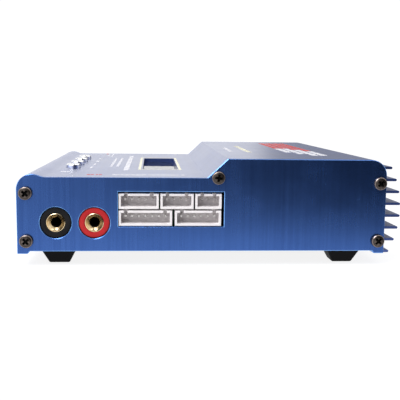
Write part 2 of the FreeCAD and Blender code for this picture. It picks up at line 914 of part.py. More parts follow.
def ac_inlet_body():
    face = -half_length - inlet_flange_thickness
    flange = inlet_plate(inlet_flange, face, -half_length)
    body = inlet_plate(inlet_body, -half_length, -half_length + inlet_depth)
    rim, rim_depth = inlet_rim
    inner = tuple(size - 2 * rim for size in inlet_flange)
    shape = flange.fuse(body).cut(inlet_plate(inner, face - 1, face + rim_depth))
    lobes = []
    for d, h in inlet_lobes():
        lobes.append(rod(inlet_lobe, inlet_cavity + 1, face - 1, inlet_across + d, inlet_rise + h,
                         AXIS_X))
    return shape.cut(lobes + inlet_pins(press_gap))


def dc_jack_pin(gap=0.0):
    d, h = jack_bore_place
    start = -half_length + jack_pin_setback
    return rod(jack_pin + gap, jack_depth - jack_pin_setback - 1, start, d, h, AXIS_X)


def dc_jack_body():
    x_back = -half_length + jack_depth
    front = block(-half_length, x_back, *jack_across, *jack_rise)
    base = block(-shell_half + 0.1, x_back, *jack_across, charger_top, jack_rise[0] + 0.1)
    d, h = jack_bore_place
    bore = rod(jack_bore, jack_bore_depth + 1, -half_length - 1, d, h, AXIS_X)
    return front.fuse(base).removeSplitter().cut([bore, dc_jack_pin(press_gap)])


def fan_start():
    """Outer face of the fan bracket, behind the sensor board."""
    return -shell_half + header_depth + board_thickness + fan_gap


def fan_corners():
    half = fan_screw_pitch / 2
    return [(fan_across + sd * half, fan_rise + sh * half) for sd in (-1, 1) for sh in (-1, 1)]


def fan_bracket():
    x = fan_start()
    half = fan_size / 2
    upright = block(x, x + bracket_thickness, fan_across - half, fan_across + half,
                    bottom_thickness, fan_rise + half)
    ledge = block(x - bracket_foot, x + bracket_thickness, fan_across - half, fan_across + half,
                  bottom_thickness, bottom_thickness + bracket_thickness)
    cuts = [rod(fan_bore, 4, x - 1, fan_across, fan_rise, AXIS_X)]
    hole = small_shank + screw_clearance
    cuts += [rod(hole, 4, x - 1, d, h, AXIS_X) for d, h in fan_corners()]
    return upright.fuse(ledge).removeSplitter().cut(cuts)


def fan_frame():
    """Square duct with a motor boss carried on three struts at its inner end."""
    x0 = fan_start() + bracket_thickness
    half = fan_size / 2
    duct = block(x0, x0 + fan_depth, fan_across - half, fan_across + half, fan_rise - half,
                 fan_rise + half)
    duct = duct.cut(rod(fan_bore, fan_depth + 2, x0 - 1, fan_across, fan_rise, AXIS_X))
    hub_x = x0 + fan_depth - fan_boss_length
    adds = [rod(fan_boss, fan_boss_length, hub_x, fan_across, fan_rise, AXIS_X)]
    centre = point(hub_x, fan_across, fan_rise)
    for i in range(3):
        strut = block(hub_x, x0 + fan_depth, fan_across - fan_strut / 2, fan_across + fan_strut / 2,
                      fan_rise, fan_rise + fan_bore + 0.3)
        strut.rotate(centre, AXIS_X, 120 * i)
        adds.append(strut)
    duct = duct.fuse(adds).removeSplitter()
    hole = small_shank + screw_clearance
    cuts = [rod(hole, fan_depth + 2, x0 - 1, d, h, AXIS_X) for d, h in fan_corners()]
    cuts.append(rod(fan_shaft + fan_shaft_gap, fan_boss_length + 2, hub_x - 1, fan_across, fan_rise,
                    AXIS_X))
    return duct.cut(cuts)


def fan_rotor():
    """Hub with raked blades and a shaft that runs in the frame's boss."""
    x0 = fan_start() + bracket_thickness + fan_rotor_gap
    hub = rod(fan_hub, fan_hub_length, x0, fan_across, fan_rise, AXIS_X)
    shaft_end = fan_start() + bracket_thickness + fan_depth
    shaft = rod(fan_shaft, shaft_end - x0, x0, fan_across, fan_rise, AXIS_X)
    centre = point(x0 + fan_hub_length / 2, fan_across, fan_rise)
    disc = rod(fan_tip, fan_hub_length, x0, fan_across, fan_rise, AXIS_X)
    blades = []
    for i in range(fan_blades):
        blade = Part.makeBox(blade_chord, blade_thickness, fan_tip + 1,
                             V(-blade_chord / 2, -blade_thickness / 2, fan_hub - blade_root))
        blade.rotate(V(0, 0, 0), AXIS_Z, blade_tilt)
        blade.rotate(V(0, 0, 0), AXIS_X, 360.0 / fan_blades * i)
        blade.translate(centre)
        blades.append(blade.common(disc))
    return hub.fuse([shaft] + blades).removeSplitter()


def power_transistor(x):
    width_x, thick, tall = transistor_size
    face = transistor_face()
    body = block(x - width_x / 2, x + width_x / 2, face - thick, face, transistor_rise,
                 transistor_rise + tall)
    legs = []
    half_leg, leg_start, leg_end = transistor_leg
    for i in (-1, 0, 1):
        middle = x + i * transistor_leg_pitch
        legs.append(block(middle - half_leg, middle + half_leg, face - thick + leg_start,
                          face - thick + leg_end, charger_top, transistor_rise))
    return body.fuse(legs)


def thermal_pad():
    face = transistor_face()
    x0 = min(transistor_x) - transistor_size[0] / 2 - pad_margin
    x1 = max(transistor_x) + transistor_size[0] / 2 + pad_margin
    pad = block(x0, x1, face, face + pad_thickness, transistor_rise,
                transistor_rise + transistor_size[2])
    hole = small_shank + screw_clearance
    middle = clamp_rise + clamp_size[0] / 2
    return pad.cut([rod(hole, 4, x, face - 1, middle, AXIS_Y) for x in clamp_screw_x])


def transistor_clamp():
    tall, thick = clamp_size
    back = transistor_face() - transistor_size[1]
    x0 = min(transistor_x) - transistor_size[0] / 2
    x1 = max(transistor_x) + transistor_size[0] / 2
    bar = block(x0, x1, back - thick, back, clamp_rise, clamp_rise + tall)
    hole = small_shank + screw_clearance
    middle = clamp_rise + tall / 2
    return bar.cut([rod(hole, 4, x, back - thick - 1, middle, AXIS_Y) for x in clamp_screw_x])


def clamp_screws():
    back = transistor_face() - transistor_size[1] - clamp_size[1]
    reach = body_width - fin_wall + clamp_screw_bite - 0.2 - back
    middle = clamp_rise + clamp_size[0] / 2
    return [small_screw(x, back, middle, reach, V(0, -1, 0)) for x in clamp_screw_x]


def transformer_core():
    """Closed ferrite frame with a middle limb, standing on the power board."""
    size_x, size_d, size_h = transformer_core_size
    x, d = transformer_place
    frame = centred(size_x, size_d, charger_top, charger_top + size_h, x, d)
    gap = (size_d - 3 * core_limb) / 2
    windows = []
    for side in (-1, 1):
        middle = d + side * (core_limb + gap) / 2
        windows.append(centred(size_x + 2, gap, charger_top + core_limb / 2,
                               charger_top + size_h - core_limb / 2, x, middle))
    return frame.cut(windows)


def transformer_winding():
    """Wound bobbin round the middle limb."""
    size_x, size_d, size_h = transformer_core_size
    x, d = transformer_place
    gap = (size_d - 3 * core_limb) / 2
    low = charger_top + core_limb / 2
    high = charger_top + size_h - core_limb / 2
    reach = core_limb + 2 * gap - 2 * winding_gap
    outer = centred(size_x + 2 * gap - 2 * winding_gap, reach, low, high, x, d)
    inner = centred(size_x + 2 * winding_gap, core_limb + 2 * winding_gap, low - 1, high + 1, x, d)
    return outer.cut(inner)


def bulk_capacitor_can():
    """Can lying on the power board, with two leads bent down from its end."""
    radius, long = bulk_capacitor
    x, d = bulk_capacitor_place
    middle = charger_top + radius + lead_side / 4
    shapes = [rod(radius, long, x - long / 2, d, middle, AXIS_X)]
    end = x - long / 2
    for side in (-1, 1):
        low = d + side * lead_spread - lead_side / 2
        shapes.append(block(end - 2 * lead_side, end - lead_side, low, low + lead_side, charger_top,
                            middle))
        shapes.append(block(end - 2 * lead_side, end + lead_side, low, low + lead_side,
                            middle - lead_side, middle))
    return joined(shapes)


def filter_capacitors():
    radius, tall = filter_capacitor
    return [rod(radius, tall, x, filter_capacitor_across, charger_top) for x in filter_capacitor_x]


def inductor_rings():
    inner, outer, tall = inductor_core
    base = charger_top + inductor_wire
    rings = []
    for x in inductor_x:
        ring = rod(outer, tall, x, inductor_across, base)
        rings.append(ring.cut(rod(inner, tall + 2, x, inductor_across, base - 1)))
    return rings


def inductor_windings():
    """Wire layer wrapped round each ring, open over a small sector."""
    inner, outer, tall = inductor_core
    coils = []
    for x, ring in zip(inductor_x, inductor_rings()):
        height = tall + 2 * inductor_wire
        coil = rod(outer + inductor_wire, height, x, inductor_across, charger_top)
        hole = rod(inner - inductor_wire, height + 2, x, inductor_across, charger_top - 1)
        gap = block(x, x + outer + 2, inductor_across - 2, inductor_across + 2, charger_top - 1,
                    charger_top + height + 1)
        coils.append(coil.cut([hole, ring, gap]))
    return coils


def fuse_body():
    """Glass tube with two end caps, each held in a clip that stands on the power board."""
    radius, long = fuse
    cap_radius, cap_length = fuse_cap
    x, d = fuse_place
    middle = charger_top + cap_radius + fuse_lift
    shapes = [rod(radius, long, x, d - long / 2, middle, AXIS_Y)]
    for start in (d - long / 2, d + long / 2 - cap_length):
        shapes.append(rod(cap_radius, cap_length, x, start, middle, AXIS_Y))
        clip = start + (cap_length - clip_thickness) / 2
        shapes.append(block(x - cap_radius, x + cap_radius, clip, clip + clip_thickness,
                            charger_top, middle))
    return joined(shapes)


def processor():
    middle = (front_board_across[0] + front_board_across[1]) / 2
    return centred(processor_side, processor_side, front_base - processor_height, front_base, 0.0,
                   middle)


def sounder():
    radius, tall = buzzer
    return rod(radius, tall, *buzzer_place, charger_top)


def build():
    os.makedirs("parts", exist_ok=True)
    save("housing_extrusion", housing_extrusion())
    save("bottom_plate", bottom_plate())
    save("output_end_plate", output_end_plate())
    save("input_end_plate", input_end_plate())
    save("output_plate_screws", end_screws(1))
    save("input_plate_screws", end_screws(-1))
    for name, x, d in foot_places():
        save(name, foot(x, d))
    save("display_window", display_window())
    save("display_bezel", display_bezel())
    save("display_glass", display_glass())
    save("display_backlight", display_backlight())
    save("display_board", centred(*display_board_size, front_top, display_base(), display_x,
                                  display_across))
    for name, x in button_places():
        save(name, button(x))
    save("button_switches", [button_switch(x) for name, x in button_places()])
    save("front_panel_board", front_board())
    save("charger_board", charger_board())
    save("power_supply_board", power_board())
    save("board_standoffs", board_standoffs())
    save("board_screws", board_screws())
    save("bottom_screws", bottom_screws())
    for name, d in zip(("negative", "positive"), socket_across):
        save(name + "_socket_bush", socket_shell(d))
        save(name + "_socket_contact", socket_contact(d))
    save("socket_nuts", [socket_hex_nut(d) for d in socket_across])
    for pins, d, h in header_places():
        save("balance_header_%dpin" % pins, header_housing(pins, d, h, header_face(), 1))
    save("sensor_header", header_housing(*sensor_header_place()))
    save("header_pins", header_pins())
    save("balance_board", balance_board())
    save("sensor_board", sensor_board())
    save("ac_inlet_body", ac_inlet_body())
    save("ac_inlet_pins", inlet_pins())
    save("dc_jack_body", dc_jack_body())
    save("dc_jack_pin", dc_jack_pin())
    save("fan_bracket", fan_bracket())
    save("fan_frame", fan_frame())
    save("fan_rotor", fan_rotor())
    save("power_transistors", [power_transistor(x) for x in transistor_x])
    save("thermal_pad", thermal_pad())
    save("transistor_clamp", transistor_clamp())
    save("clamp_screws", clamp_screws())
    save("transformer_core", transformer_core())
    save("transformer_winding", transformer_winding())
    save("bulk_capacitor", bulk_capacitor_can())
    save("filter_capacitors", filter_capacitors())
    save("inductor_cores", inductor_rings())
    save("inductor_windings", inductor_windings())
    save("mains_fuse", fuse_body())
    save("processor", processor())
    save("sounder", sounder())


build()
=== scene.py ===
"""Visual model of a balance battery charger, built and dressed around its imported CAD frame.

Sizes in the classes are millimetres in the CAD's own frame: x runs from the input end to the
output end, y from the low side wall to the finned wall, z up from the feet.
"""
import json
import logging
import math
import random
from collections.abc import Callable, Iterable
from dataclasses import dataclass, field
from enum import Enum

import bmesh
import bpy
from mathutils import Matrix, Vector


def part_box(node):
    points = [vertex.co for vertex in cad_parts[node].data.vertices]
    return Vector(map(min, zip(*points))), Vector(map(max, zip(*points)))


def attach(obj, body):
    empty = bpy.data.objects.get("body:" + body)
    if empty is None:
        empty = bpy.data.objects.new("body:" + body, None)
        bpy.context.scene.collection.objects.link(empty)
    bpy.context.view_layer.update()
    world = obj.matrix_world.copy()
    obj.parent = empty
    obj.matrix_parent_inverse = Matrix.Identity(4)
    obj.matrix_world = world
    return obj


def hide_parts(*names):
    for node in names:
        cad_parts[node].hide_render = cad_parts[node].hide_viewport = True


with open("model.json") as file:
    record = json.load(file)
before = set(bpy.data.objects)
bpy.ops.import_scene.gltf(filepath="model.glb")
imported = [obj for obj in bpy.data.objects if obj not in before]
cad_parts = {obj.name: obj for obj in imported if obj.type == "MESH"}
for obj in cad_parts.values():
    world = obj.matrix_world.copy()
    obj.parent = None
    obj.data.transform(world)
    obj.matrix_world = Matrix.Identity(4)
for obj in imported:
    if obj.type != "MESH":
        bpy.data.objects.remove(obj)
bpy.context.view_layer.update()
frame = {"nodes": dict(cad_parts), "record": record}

log = logging.getLogger("charger")
MM = 0.001
Pair = tuple[float, float]
Triple = tuple[float, float, float]
Colour = tuple[float, float, float]


class Axis(Enum):
    """Directions that a piece can be turned or cut along."""

    X = (1.0, 0.0, 0.0)
    Y = (0.0, 1.0, 0.0)
    Z = (0.0, 0.0, 1.0)

    @property
    def vector(self) -> Vector:
        """The direction as a vector."""
        return Vector(self.value)

    @property
    def tilt(self) -> Triple:
        """Turn that lays a flat circle square to the direction."""
        tilts = {"X": (0.0, math.pi / 2, 0.0), "Y": (-math.pi / 2, 0.0, 0.0), "Z": (0.0, 0.0, 0.0)}
        return tilts[self.name]


# ---------------------------------------------------------------------------------------------
# Node sheets: procedural materials written as expressions
# ---------------------------------------------------------------------------------------------
class Wire:
    """One node output; Python arithmetic on it adds Math nodes."""

    def __init__(self, sheet: "NodeSheet", socket: bpy.types.NodeSocket) -> None:
        """Holds a socket and the sheet it belongs to."""
        self.sheet = sheet
        self.socket = socket

    def math(self, operation: str, first: "Feed", second: "Feed" = 0.0) -> "Wire":
        """Adds one Math node.

        Args:
            operation: The Math node's operation.
            first: First operand.
            second: Second operand.

        Returns:
            The node's value.
        """
        return self.sheet.node("ShaderNodeMath", {"operation": operation}, {0: first, 1: second})

    def __add__(self, other: "Feed") -> "Wire":
        """self + other."""
        return self.math("ADD", self, other)

    def __radd__(self, other: "Feed") -> "Wire":
        """other + self."""
        return self.math("ADD", other, self)

    def __sub__(self, other: "Feed") -> "Wire":
        """self - other."""
        return self.math("SUBTRACT", self, other)

    def __rsub__(self, other: "Feed") -> "Wire":
        """other - self."""
        return self.math("SUBTRACT", other, self)

    def __mul__(self, other: "Feed") -> "Wire":
        """self * other."""
        return self.math("MULTIPLY", self, other)

    def __rmul__(self, other: "Feed") -> "Wire":
        """other * self."""
        return self.math("MULTIPLY", other, self)

    def __pow__(self, other: "Feed") -> "Wire":
        """self to the power other."""
        return self.math("POWER", self, other)

    def __abs__(self) -> "Wire":
        """Absolute value."""
        return self.math("ABSOLUTE", self)

    def __gt__(self, limit: "Feed") -> "Wire":
        """1 where self is over the limit, 0 elsewhere."""
        return self.math("GREATER_THAN", self, limit)

    def wave(self) -> "Wire":
        """Sine of self, in radians."""
        return self.math("SINE", self)

    def fold(self, size: float) -> "Wire":
        """Back-and-forth ramp from 0 to size."""
        return self.math("PINGPONG", self, size)

    def ease(self, start: float, end: float, low: float = 0.0, high: float = 1.0) -> "Wire":
        """Smooth step between two values of self.

        Args:
            start: Value of self where the step begins.
            end: Value of self where the step ends.
            low: Result at and before start.
            high: Result at and after end.

        Returns:
            The stepped value.
        """
        return self.sheet.node(
            "ShaderNodeMapRange",
            {"interpolation_type": "SMOOTHSTEP"},
            {0: self, 1: start, 2: end, 3: low, 4: high},
        )


Feed = Wire | float | int | tuple | list


class NodeSheet:
    """One material's node tree."""

    def __init__(self, name: str) -> None:
        """Starts an empty material.

        Args:
            name: The material's name.
        """
        self.material = bpy.data.materials.new(name)
        self.material.use_nodes = True
        self.tree = self.material.node_tree
        self.tree.nodes.clear()
        self.place = self.node("ShaderNodeTexCoord", {}, {}, "Object")

    def node(self, kind: str, settings: dict, feeds: dict, output: int | str = 0) -> Wire | None:
        """Adds any node.

        Args:
            kind: The node's type.
            settings: Its properties, set first.
            feeds: Values or wires for its inputs, by index or name.
            output: Which output to return.

        Returns:
            The chosen output, or None for a node that has none.
        """
        made = self.tree.nodes.new(kind)
        for key, value in settings.items():
            setattr(made, key, value)
        for key, value in feeds.items():
            self._feed(made.inputs[key], value)
        return Wire(self, made.outputs[output]) if len(made.outputs) else None

    def _feed(self, socket: bpy.types.NodeSocket, value: Feed) -> None:
        """Links a wire to a socket, or sets the socket's own value.

        Args:
            socket: The input to feed.
            value: The wire, number or colour.
        """
        if isinstance(value, Wire):
            self.tree.links.new(value.socket, socket)
        elif isinstance(value, (tuple, list)) and socket.type == "RGBA":
            socket.default_value = (*value[:3], 1.0)
        else:
            socket.default_value = value

    def axis(self, axis: Axis, source: Wire | None = None) -> Wire:
        """One coordinate of a vector, in metres for the object's own place.

        Args:
            axis: Which coordinate.
            source: The vector, or None for the place.

        Returns:
            That coordinate.
        """
        return self.node("ShaderNodeSeparateXYZ", {}, {0: source or self.place}, list(Axis).index(axis))

    def normal(self, axis: Axis) -> Wire:
        """One coordinate of the flat face's direction."""
        facing = self.node("ShaderNodeNewGeometry", {}, {}, "True Normal")
        return self.axis(axis, facing)

    def stretched(self, scale: Triple) -> Wire:
        """The place, scaled to so many repeats per metre along x, y and z."""
        return self.node("ShaderNodeMapping", {"vector_type": "POINT"}, {0: self.place, 3: scale})

    def grain(self, scale: float | Triple, detail: float = 2.0, rough: float = 0.5) -> Wire:
        """Soft noise from 0 to 1.

        Args:
            scale: Grains per metre, or per metre along x, y and z.
            detail: Octaves.
            rough: Strength of each finer octave.

        Returns:
            The noise.
        """
        even = not isinstance(scale, tuple)
        source = self.place if even else self.stretched(scale)
        size = scale if even else 1.0
        return self.node(
            "ShaderNodeTexNoise",
            {"noise_dimensions": "3D"},
            {"Vector": source, "Scale": size, "Detail": detail, "Roughness": rough},
        )

    def cells(self, scale: float) -> Wire:
        """Distance from the middles of a pattern of cells, with scale cells per metre."""
        return self.node("ShaderNodeTexVoronoi", {}, {"Vector": self.place, "Scale": scale})

    def blend(self, amount: Feed, first: Feed, second: Feed) -> Wire:
        """Blends two colours.

        Args:
            amount: Share of the second colour.
            first: First colour.
            second: Second colour.

        Returns:
            The blended colour.
        """
        feeds = {0: amount, 6: first, 7: second}
        return self.node("ShaderNodeMix", {"data_type": "RGBA"}, feeds, 2)

    def bump(self, height: Wire, depth: float, strength: float) -> Wire:
        """Turns a height pattern into a normal.

        Args:
            height: Pattern from 0 to 1.
            depth: Depth in metres.
            strength: Share of the effect.

        Returns:
            The bumped normal.
        """
        feeds = {"Strength": strength, "Distance": depth, "Height": height}
        return self.node("ShaderNodeBump", {}, feeds)

    def attribute(self, name: str) -> Wire:
        """A number stored on the piece's own points."""
        settings = {"attribute_type": "GEOMETRY", "attribute_name": name}
        return self.node("ShaderNodeAttribute", settings, {}, "Fac")

    def shader(self, **feeds: Feed) -> bpy.types.Material:
        """Ends the sheet with one Principled shader.

        Args:
            feeds: Its inputs, with underscores for spaces.

        Returns:
            The finished material.
        """
        named = {key.replace("_", " "): value for key, value in feeds.items()}
        surface = self.node("ShaderNodeBsdfPrincipled", {}, named)
        self.node("ShaderNodeOutputMaterial", {}, {"Surface": surface})
        return self.material


class SkySheet(NodeSheet):
    """The world's node tree; its place is the direction looked in."""

    def __init__(self, name: str) -> None:
        """Starts an empty world and makes it the scene's.

        Args:
            name: The world's name.
        """
        world = bpy.data.worlds.new(name)
        bpy.context.scene.world = world
        world.use_nodes = True
        self.tree = world.node_tree
        self.tree.nodes.clear()
        self.place = self.node("ShaderNodeTexCoord", {}, {}, "Generated")


# ---------------------------------------------------------------------------------------------
# Finishes
# ---------------------------------------------------------------------------------------------
def scaled(values: Triple, factor: float) -> Triple:
    """Three numbers, each times a factor."""
    return tuple(factor * value for value in values)


@dataclass(frozen=True)
class Finish:
    """A surface finish; each kind paints its own node sheet."""

    name: str

    def paint(self, sheet: NodeSheet) -> bpy.types.Material:
        """Draws the finish on an empty sheet.

        Args:
            sheet: The sheet to draw on.

        Returns:
            The finished material.
        """
        raise NotImplementedError

    def material(self) -> bpy.types.Material:
        """Makes the material once, beside the plain one of that name that the frame brings.

        Returns:
            The finish's material.
        """
        title = f"{self.name}_finish"
        made = bpy.data.materials.get(title)
        return made or self.paint(NodeSheet(title))


@dataclass(frozen=True)
class AnodisedAluminium(Finish):
    """Satin dyed aluminium with drawn or brushed grain and paler cut edges, which are partly a painted
    highlight.
    """

    deep: Colour = (0.038, 0.076, 0.275)
    pale: Colour = (0.052, 0.100, 0.335)
    edge: Colour = (0.200, 0.380, 0.780)
    lines: Triple = (14.0, 2600.0, 2600.0)
    flat_face: Axis | None = None
    roughness: float = 0.34
    metallic: float = 0.92
    coat: float = 1.0

    def paint(self, sheet: NodeSheet) -> bpy.types.Material:
        """Long fine lines, slow colour drift, blasted grain and rubbed edges, painted paler partly as a
        painted highlight and less pale where they face up.

        Args:
            sheet: The sheet to draw on.

        Returns:
            The finished material.
        """
        lines = sheet.grain(self.lines, 3.0, 0.62)
        streaks = sheet.grain(scaled(self.lines, 0.28), 3.0, 0.6)
        blast = sheet.grain(5200.0, 2.0, 0.6)
        drift = sheet.grain(26.0, 3.0, 0.5)
        shade = lines * 0.3 + streaks * 0.35 + blast * 0.15 + drift * 0.2
        colour = sheet.blend(shade.ease(0.40, 0.60), self.deep, self.pale)
        rubs = sheet.grain(420.0, 4.0, 0.7)
        metallic = self.metallic
        # Paler cut edges: partly the edge's own rubbed tone, partly a painted highlight; edges that
        # face up are painted less pale.
        if self.flat_face:
            cut = abs(sheet.normal(self.flat_face)).ease(0.80, 0.98, 1.0, 0.0)
            cut = cut * rubs.ease(0.2, 0.6, 0.75, 1.0) * sheet.normal(Axis.Z).ease(0.2, 0.6, 1.0, 0.2)
            colour = sheet.blend(cut, colour, self.edge)
            metallic = self.metallic - cut * 0.5
        smudge = sheet.grain(70.0, 4.0, 0.6).ease(0.35, 0.75)
        rough = self.roughness + lines * 0.06 + smudge * 0.06 - rubs.ease(0.62, 0.8) * 0.04
        height = lines * 0.7 + blast * 0.3
        return sheet.shader(
            Base_Color=colour,
            Metallic=metallic,
            Roughness=rough,
            Normal=sheet.bump(height, 0.000014, 0.5),
            Coat_Weight=self.coat,
            Coat_Roughness=0.28,
            IOR=1.5,
        )


@dataclass(frozen=True)
class BlackOxide(Finish):
    """Blackened steel whose rims are worn to brown grey, a ring that is also a painted highlight; wear,
    painted highlight and painted shade in the cross are a number on the piece.
    """

    dark: Colour = (0.032, 0.027, 0.025)
    worn_and_highlight: Colour = (0.27, 0.22, 0.195)

    def paint(self, sheet: NodeSheet) -> bpy.types.Material:
        """Dark oxide, speckled, with bare metal that is also a painted highlight where the number is
        high, and painted shade where it is below zero.

        Args:
            sheet: The sheet to draw on.

        Returns:
            The finished material.
        """
        speckle = sheet.grain(3000.0, 3.0, 0.6)
        patch = sheet.grain(900.0, 3.0, 0.6)
        wear_and_light_marks = sheet.attribute("wear_and_painted_light")
        # The rim band is worn metal and also a painted highlight: a lighter brown grey ring all round
        # the head.
        wear_and_painted_light = (wear_and_light_marks * (patch * 0.9 + 0.5)).ease(0.35, 0.95)
        # Painted shade: below zero, down in the cross recess, the colour is painted near black, matt
        # and not metallic.
        painted_cross_shade = wear_and_light_marks.ease(0.1, -0.6)
        colour = sheet.blend(speckle, self.dark, scaled(self.dark, 1.8))
        colour = sheet.blend(wear_and_painted_light, colour, self.worn_and_highlight)
        colour = sheet.blend(painted_cross_shade, colour, (0.0005, 0.0005, 0.0005))
        return sheet.shader(
            Base_Color=colour,
            Metallic=(0.9 + wear_and_painted_light * 0.1) * (1.0 - painted_cross_shade),
            Roughness=0.24 + speckle * 0.10 + painted_cross_shade * 0.5,
            Normal=sheet.bump(speckle, 0.00002, 0.5),
            Coat_Weight=0.04,
            Coat_Roughness=0.22,
            Specular_IOR_Level=0.2,
        )


@dataclass(frozen=True)
class BareMetal(Finish):
    """Turned, plated or polished bare metal."""

    colour: Colour = (0.8, 0.8, 0.8)
    roughness: float = 0.2
    lines: Triple = (900.0, 900.0, 900.0)
    depth: float = 0.000004
    tarnish: Colour = (0.4, 0.38, 0.34)
    tarnished: float = 0.25
    shaded_behind: float = -1.0
    bore_shade_colour: Colour = (0.006, 0.002, 0.001)

    def paint(self, sheet: NodeSheet) -> bpy.types.Material:
        """Fine tool lines, a little tarnish and small scuffs; painted shade, dark brown and matt,
        behind an x place.

        Args:
            sheet: The sheet to draw on.

        Returns:
            The finished material.
        """
        lines = sheet.grain(self.lines, 3.0, 0.6)
        stain = sheet.grain(260.0, 4.0, 0.65)
        scuff = sheet.grain((2400.0, 700.0, 1500.0), 4.0, 0.7).ease(0.6, 0.72)
        dull = stain.ease(0.5, 0.8) * self.tarnished
        colour = sheet.blend(dull, self.colour, self.tarnish)
        metallic, rough = 1.0, self.roughness + dull * 0.3 + scuff * 0.1 + lines * 0.04
        # Painted shade: behind this x place, deep in the socket's bore, the metal is painted dark
        # brown, matt and not metallic.
        if self.shaded_behind > 0:
            start = self.shaded_behind
            behind = sheet.axis(Axis.X).ease(start - 0.0005, start, 1.0, 0.0)
            colour = sheet.blend(behind, colour, self.bore_shade_colour)
            metallic, rough = 1.0 - behind, rough + behind * 0.6
        return sheet.shader(
            Base_Color=colour,
            Metallic=metallic,
            Roughness=rough,
            Normal=sheet.bump(lines, self.depth, 0.6),
        )


@dataclass(frozen=True)
class MouldedPlastic(Finish):
    """Injection moulded plastic with a fine spark-eroded texture."""

    colour: Colour = (0.02, 0.02, 0.02)
    roughness: float = 0.42
    grain_per_metre: float = 3200.0
    depth: float = 0.00003
    drift: float = 0.16
    shine: float = 0.5

    def paint(self, sheet: NodeSheet) -> bpy.types.Material:
        """Fine grain, slow flow marks and faint handling shine.

        Args:
            sheet: The sheet to draw on.

        Returns:
            The finished material.
        """
        grain = sheet.grain(self.grain_per_metre, 3.0, 0.55)
        flow = sheet.grain((60.0, 190.0, 190.0), 3.0, 0.55)
        shine = sheet.grain(150.0, 4.0, 0.6).ease(0.5, 0.75)
        dark = scaled(self.colour, 1.0 - self.drift)
        light = tuple(min(1.0, c * (1.0 + self.drift) + 0.004) for c in self.colour)
        colour = sheet.blend((flow * 0.7 + grain * 0.3).ease(0.3, 0.7), dark, light)
        return sheet.shader(
            Base_Color=colour,
            Metallic=0.0,
            Roughness=self.roughness + grain * 0.14 - shine * 0.10,
            Normal=sheet.bump(grain, self.depth, 0.5),
            Specular_IOR_Level=self.shine,
            IOR=1.49,
        )


@dataclass(frozen=True)
class Rubber(Finish):
    """Matte black rubber with dust in its pores."""

    colour: Colour = (0.0015, 0.0016, 0.0022)
    dust: Colour = (0.009, 0.009, 0.009)

    def paint(self, sheet: NodeSheet) -> bpy.types.Material:
        """Pores, a light bloom of dust and slight moulding ripples.

        Args:
            sheet: The sheet to draw on.

        Returns:
            The finished material.
        """
        pores = sheet.cells(2600.0)
        bloom = sheet.grain(330.0, 5.0, 0.65).ease(0.48, 0.78)
        # The top band of the foot, from 4.6 to 5.8 mm up, is blended a fifth of the way to the dust
        # colour, so it is lighter towards the top.
        rim = sheet.axis(Axis.Z).ease(0.0046, 0.0058)
        colour = sheet.blend(bloom * 0.6 + rim * 0.2, self.colour, self.dust)
        return sheet.shader(
            Base_Color=colour,
            Roughness=0.62 + bloom * 0.22,
            Normal=sheet.bump(pores, 0.00006, 0.5),
            Specular_IOR_Level=0.1,
        )


@dataclass(frozen=True)
class PrintedInk(Finish):
    """Screen-printed ink: a slightly uneven film with pinholes."""

    colour: Colour = (0.85, 0.85, 0.85)

    def paint(self, sheet: NodeSheet) -> bpy.types.Material:
        """Mesh texture, thin spots and a satin surface.

        Args:
            sheet: The sheet to draw on.

        Returns:
            The finished material.
        """
        mesh_x = (sheet.axis(Axis.X) * 9000.0).wave()
        mesh_y = (sheet.axis(Axis.Y) * 9000.0).wave()
        thin = sheet.grain(1500.0, 4.0, 0.6)
        dull = scaled(self.colour, 0.78)
        colour = sheet.blend(thin.ease(0.35, 0.6), dull, self.colour)
        return sheet.shader(
            Base_Color=colour,
            Roughness=0.5 + thin * 0.16,
            Normal=sheet.bump(mesh_x * mesh_y * 0.25 + thin, 0.00001, 0.4),
            Coat_Weight=0.08,
        )


@dataclass(frozen=True)
class CircuitBoard(Finish):
    """Glass-fibre board under green mask, with raised tracks and bare pads."""

    mask: Colour = (0.008, 0.080, 0.030)
    track: Colour = (0.020, 0.150, 0.055)
    pad: Colour = (0.62, 0.60, 0.55)
    pad_pitch: float = 0.00508

    def paint(self, sheet: NodeSheet) -> bpy.types.Material:
        """Stepped tracks, a grid of pads and the weave's faint ripple.

        Args:
            sheet: The sheet to draw on.

        Returns:
            The finished material.
        """
        routes = sheet.grain((160.0, 160.0, 0.0), 1.0, 0.3)
        track = (routes * 9.0).fold(0.5).ease(0.2, 0.3)
        column = abs((sheet.axis(Axis.X) * (math.pi / self.pad_pitch)).wave())
        row = abs((sheet.axis(Axis.Y) * (math.pi / self.pad_pitch)).wave())
        pads = (column * row).ease(0.955, 0.975) * (sheet.grain(120.0) > 0.52)
        colour = sheet.blend(track, self.mask, self.track)
        colour = sheet.blend(pads, colour, self.pad)
        return sheet.shader(
            Base_Color=colour,
            Metallic=pads * 0.9,
            Roughness=0.34 - track * 0.06,
            Normal=sheet.bump(track + pads, 0.00005, 0.6),
            Coat_Weight=0.2,
        )


@dataclass(frozen=True)
class ClearPanel(Finish):
    """Clear acrylic or glass sheet with a little haze."""

    tint: Colour = (0.93, 0.95, 0.97)
    haze: float = 0.03

    def paint(self, sheet: NodeSheet) -> bpy.types.Material:
        """Faint wipe marks on a transmitting sheet.

        Args:
            sheet: The sheet to draw on.

        Returns:
            The finished material.
        """
        wipe = sheet.grain((90.0, 600.0, 90.0), 4.0, 0.6)
        colour = sheet.blend(wipe * 0.3, self.tint, scaled(self.tint, 0.96))
        return sheet.shader(
            Base_Color=colour,
            Roughness=self.haze + wipe.ease(0.5, 0.8) * 0.05,
            Transmission_Weight=1.0,
            IOR=1.52,
        )


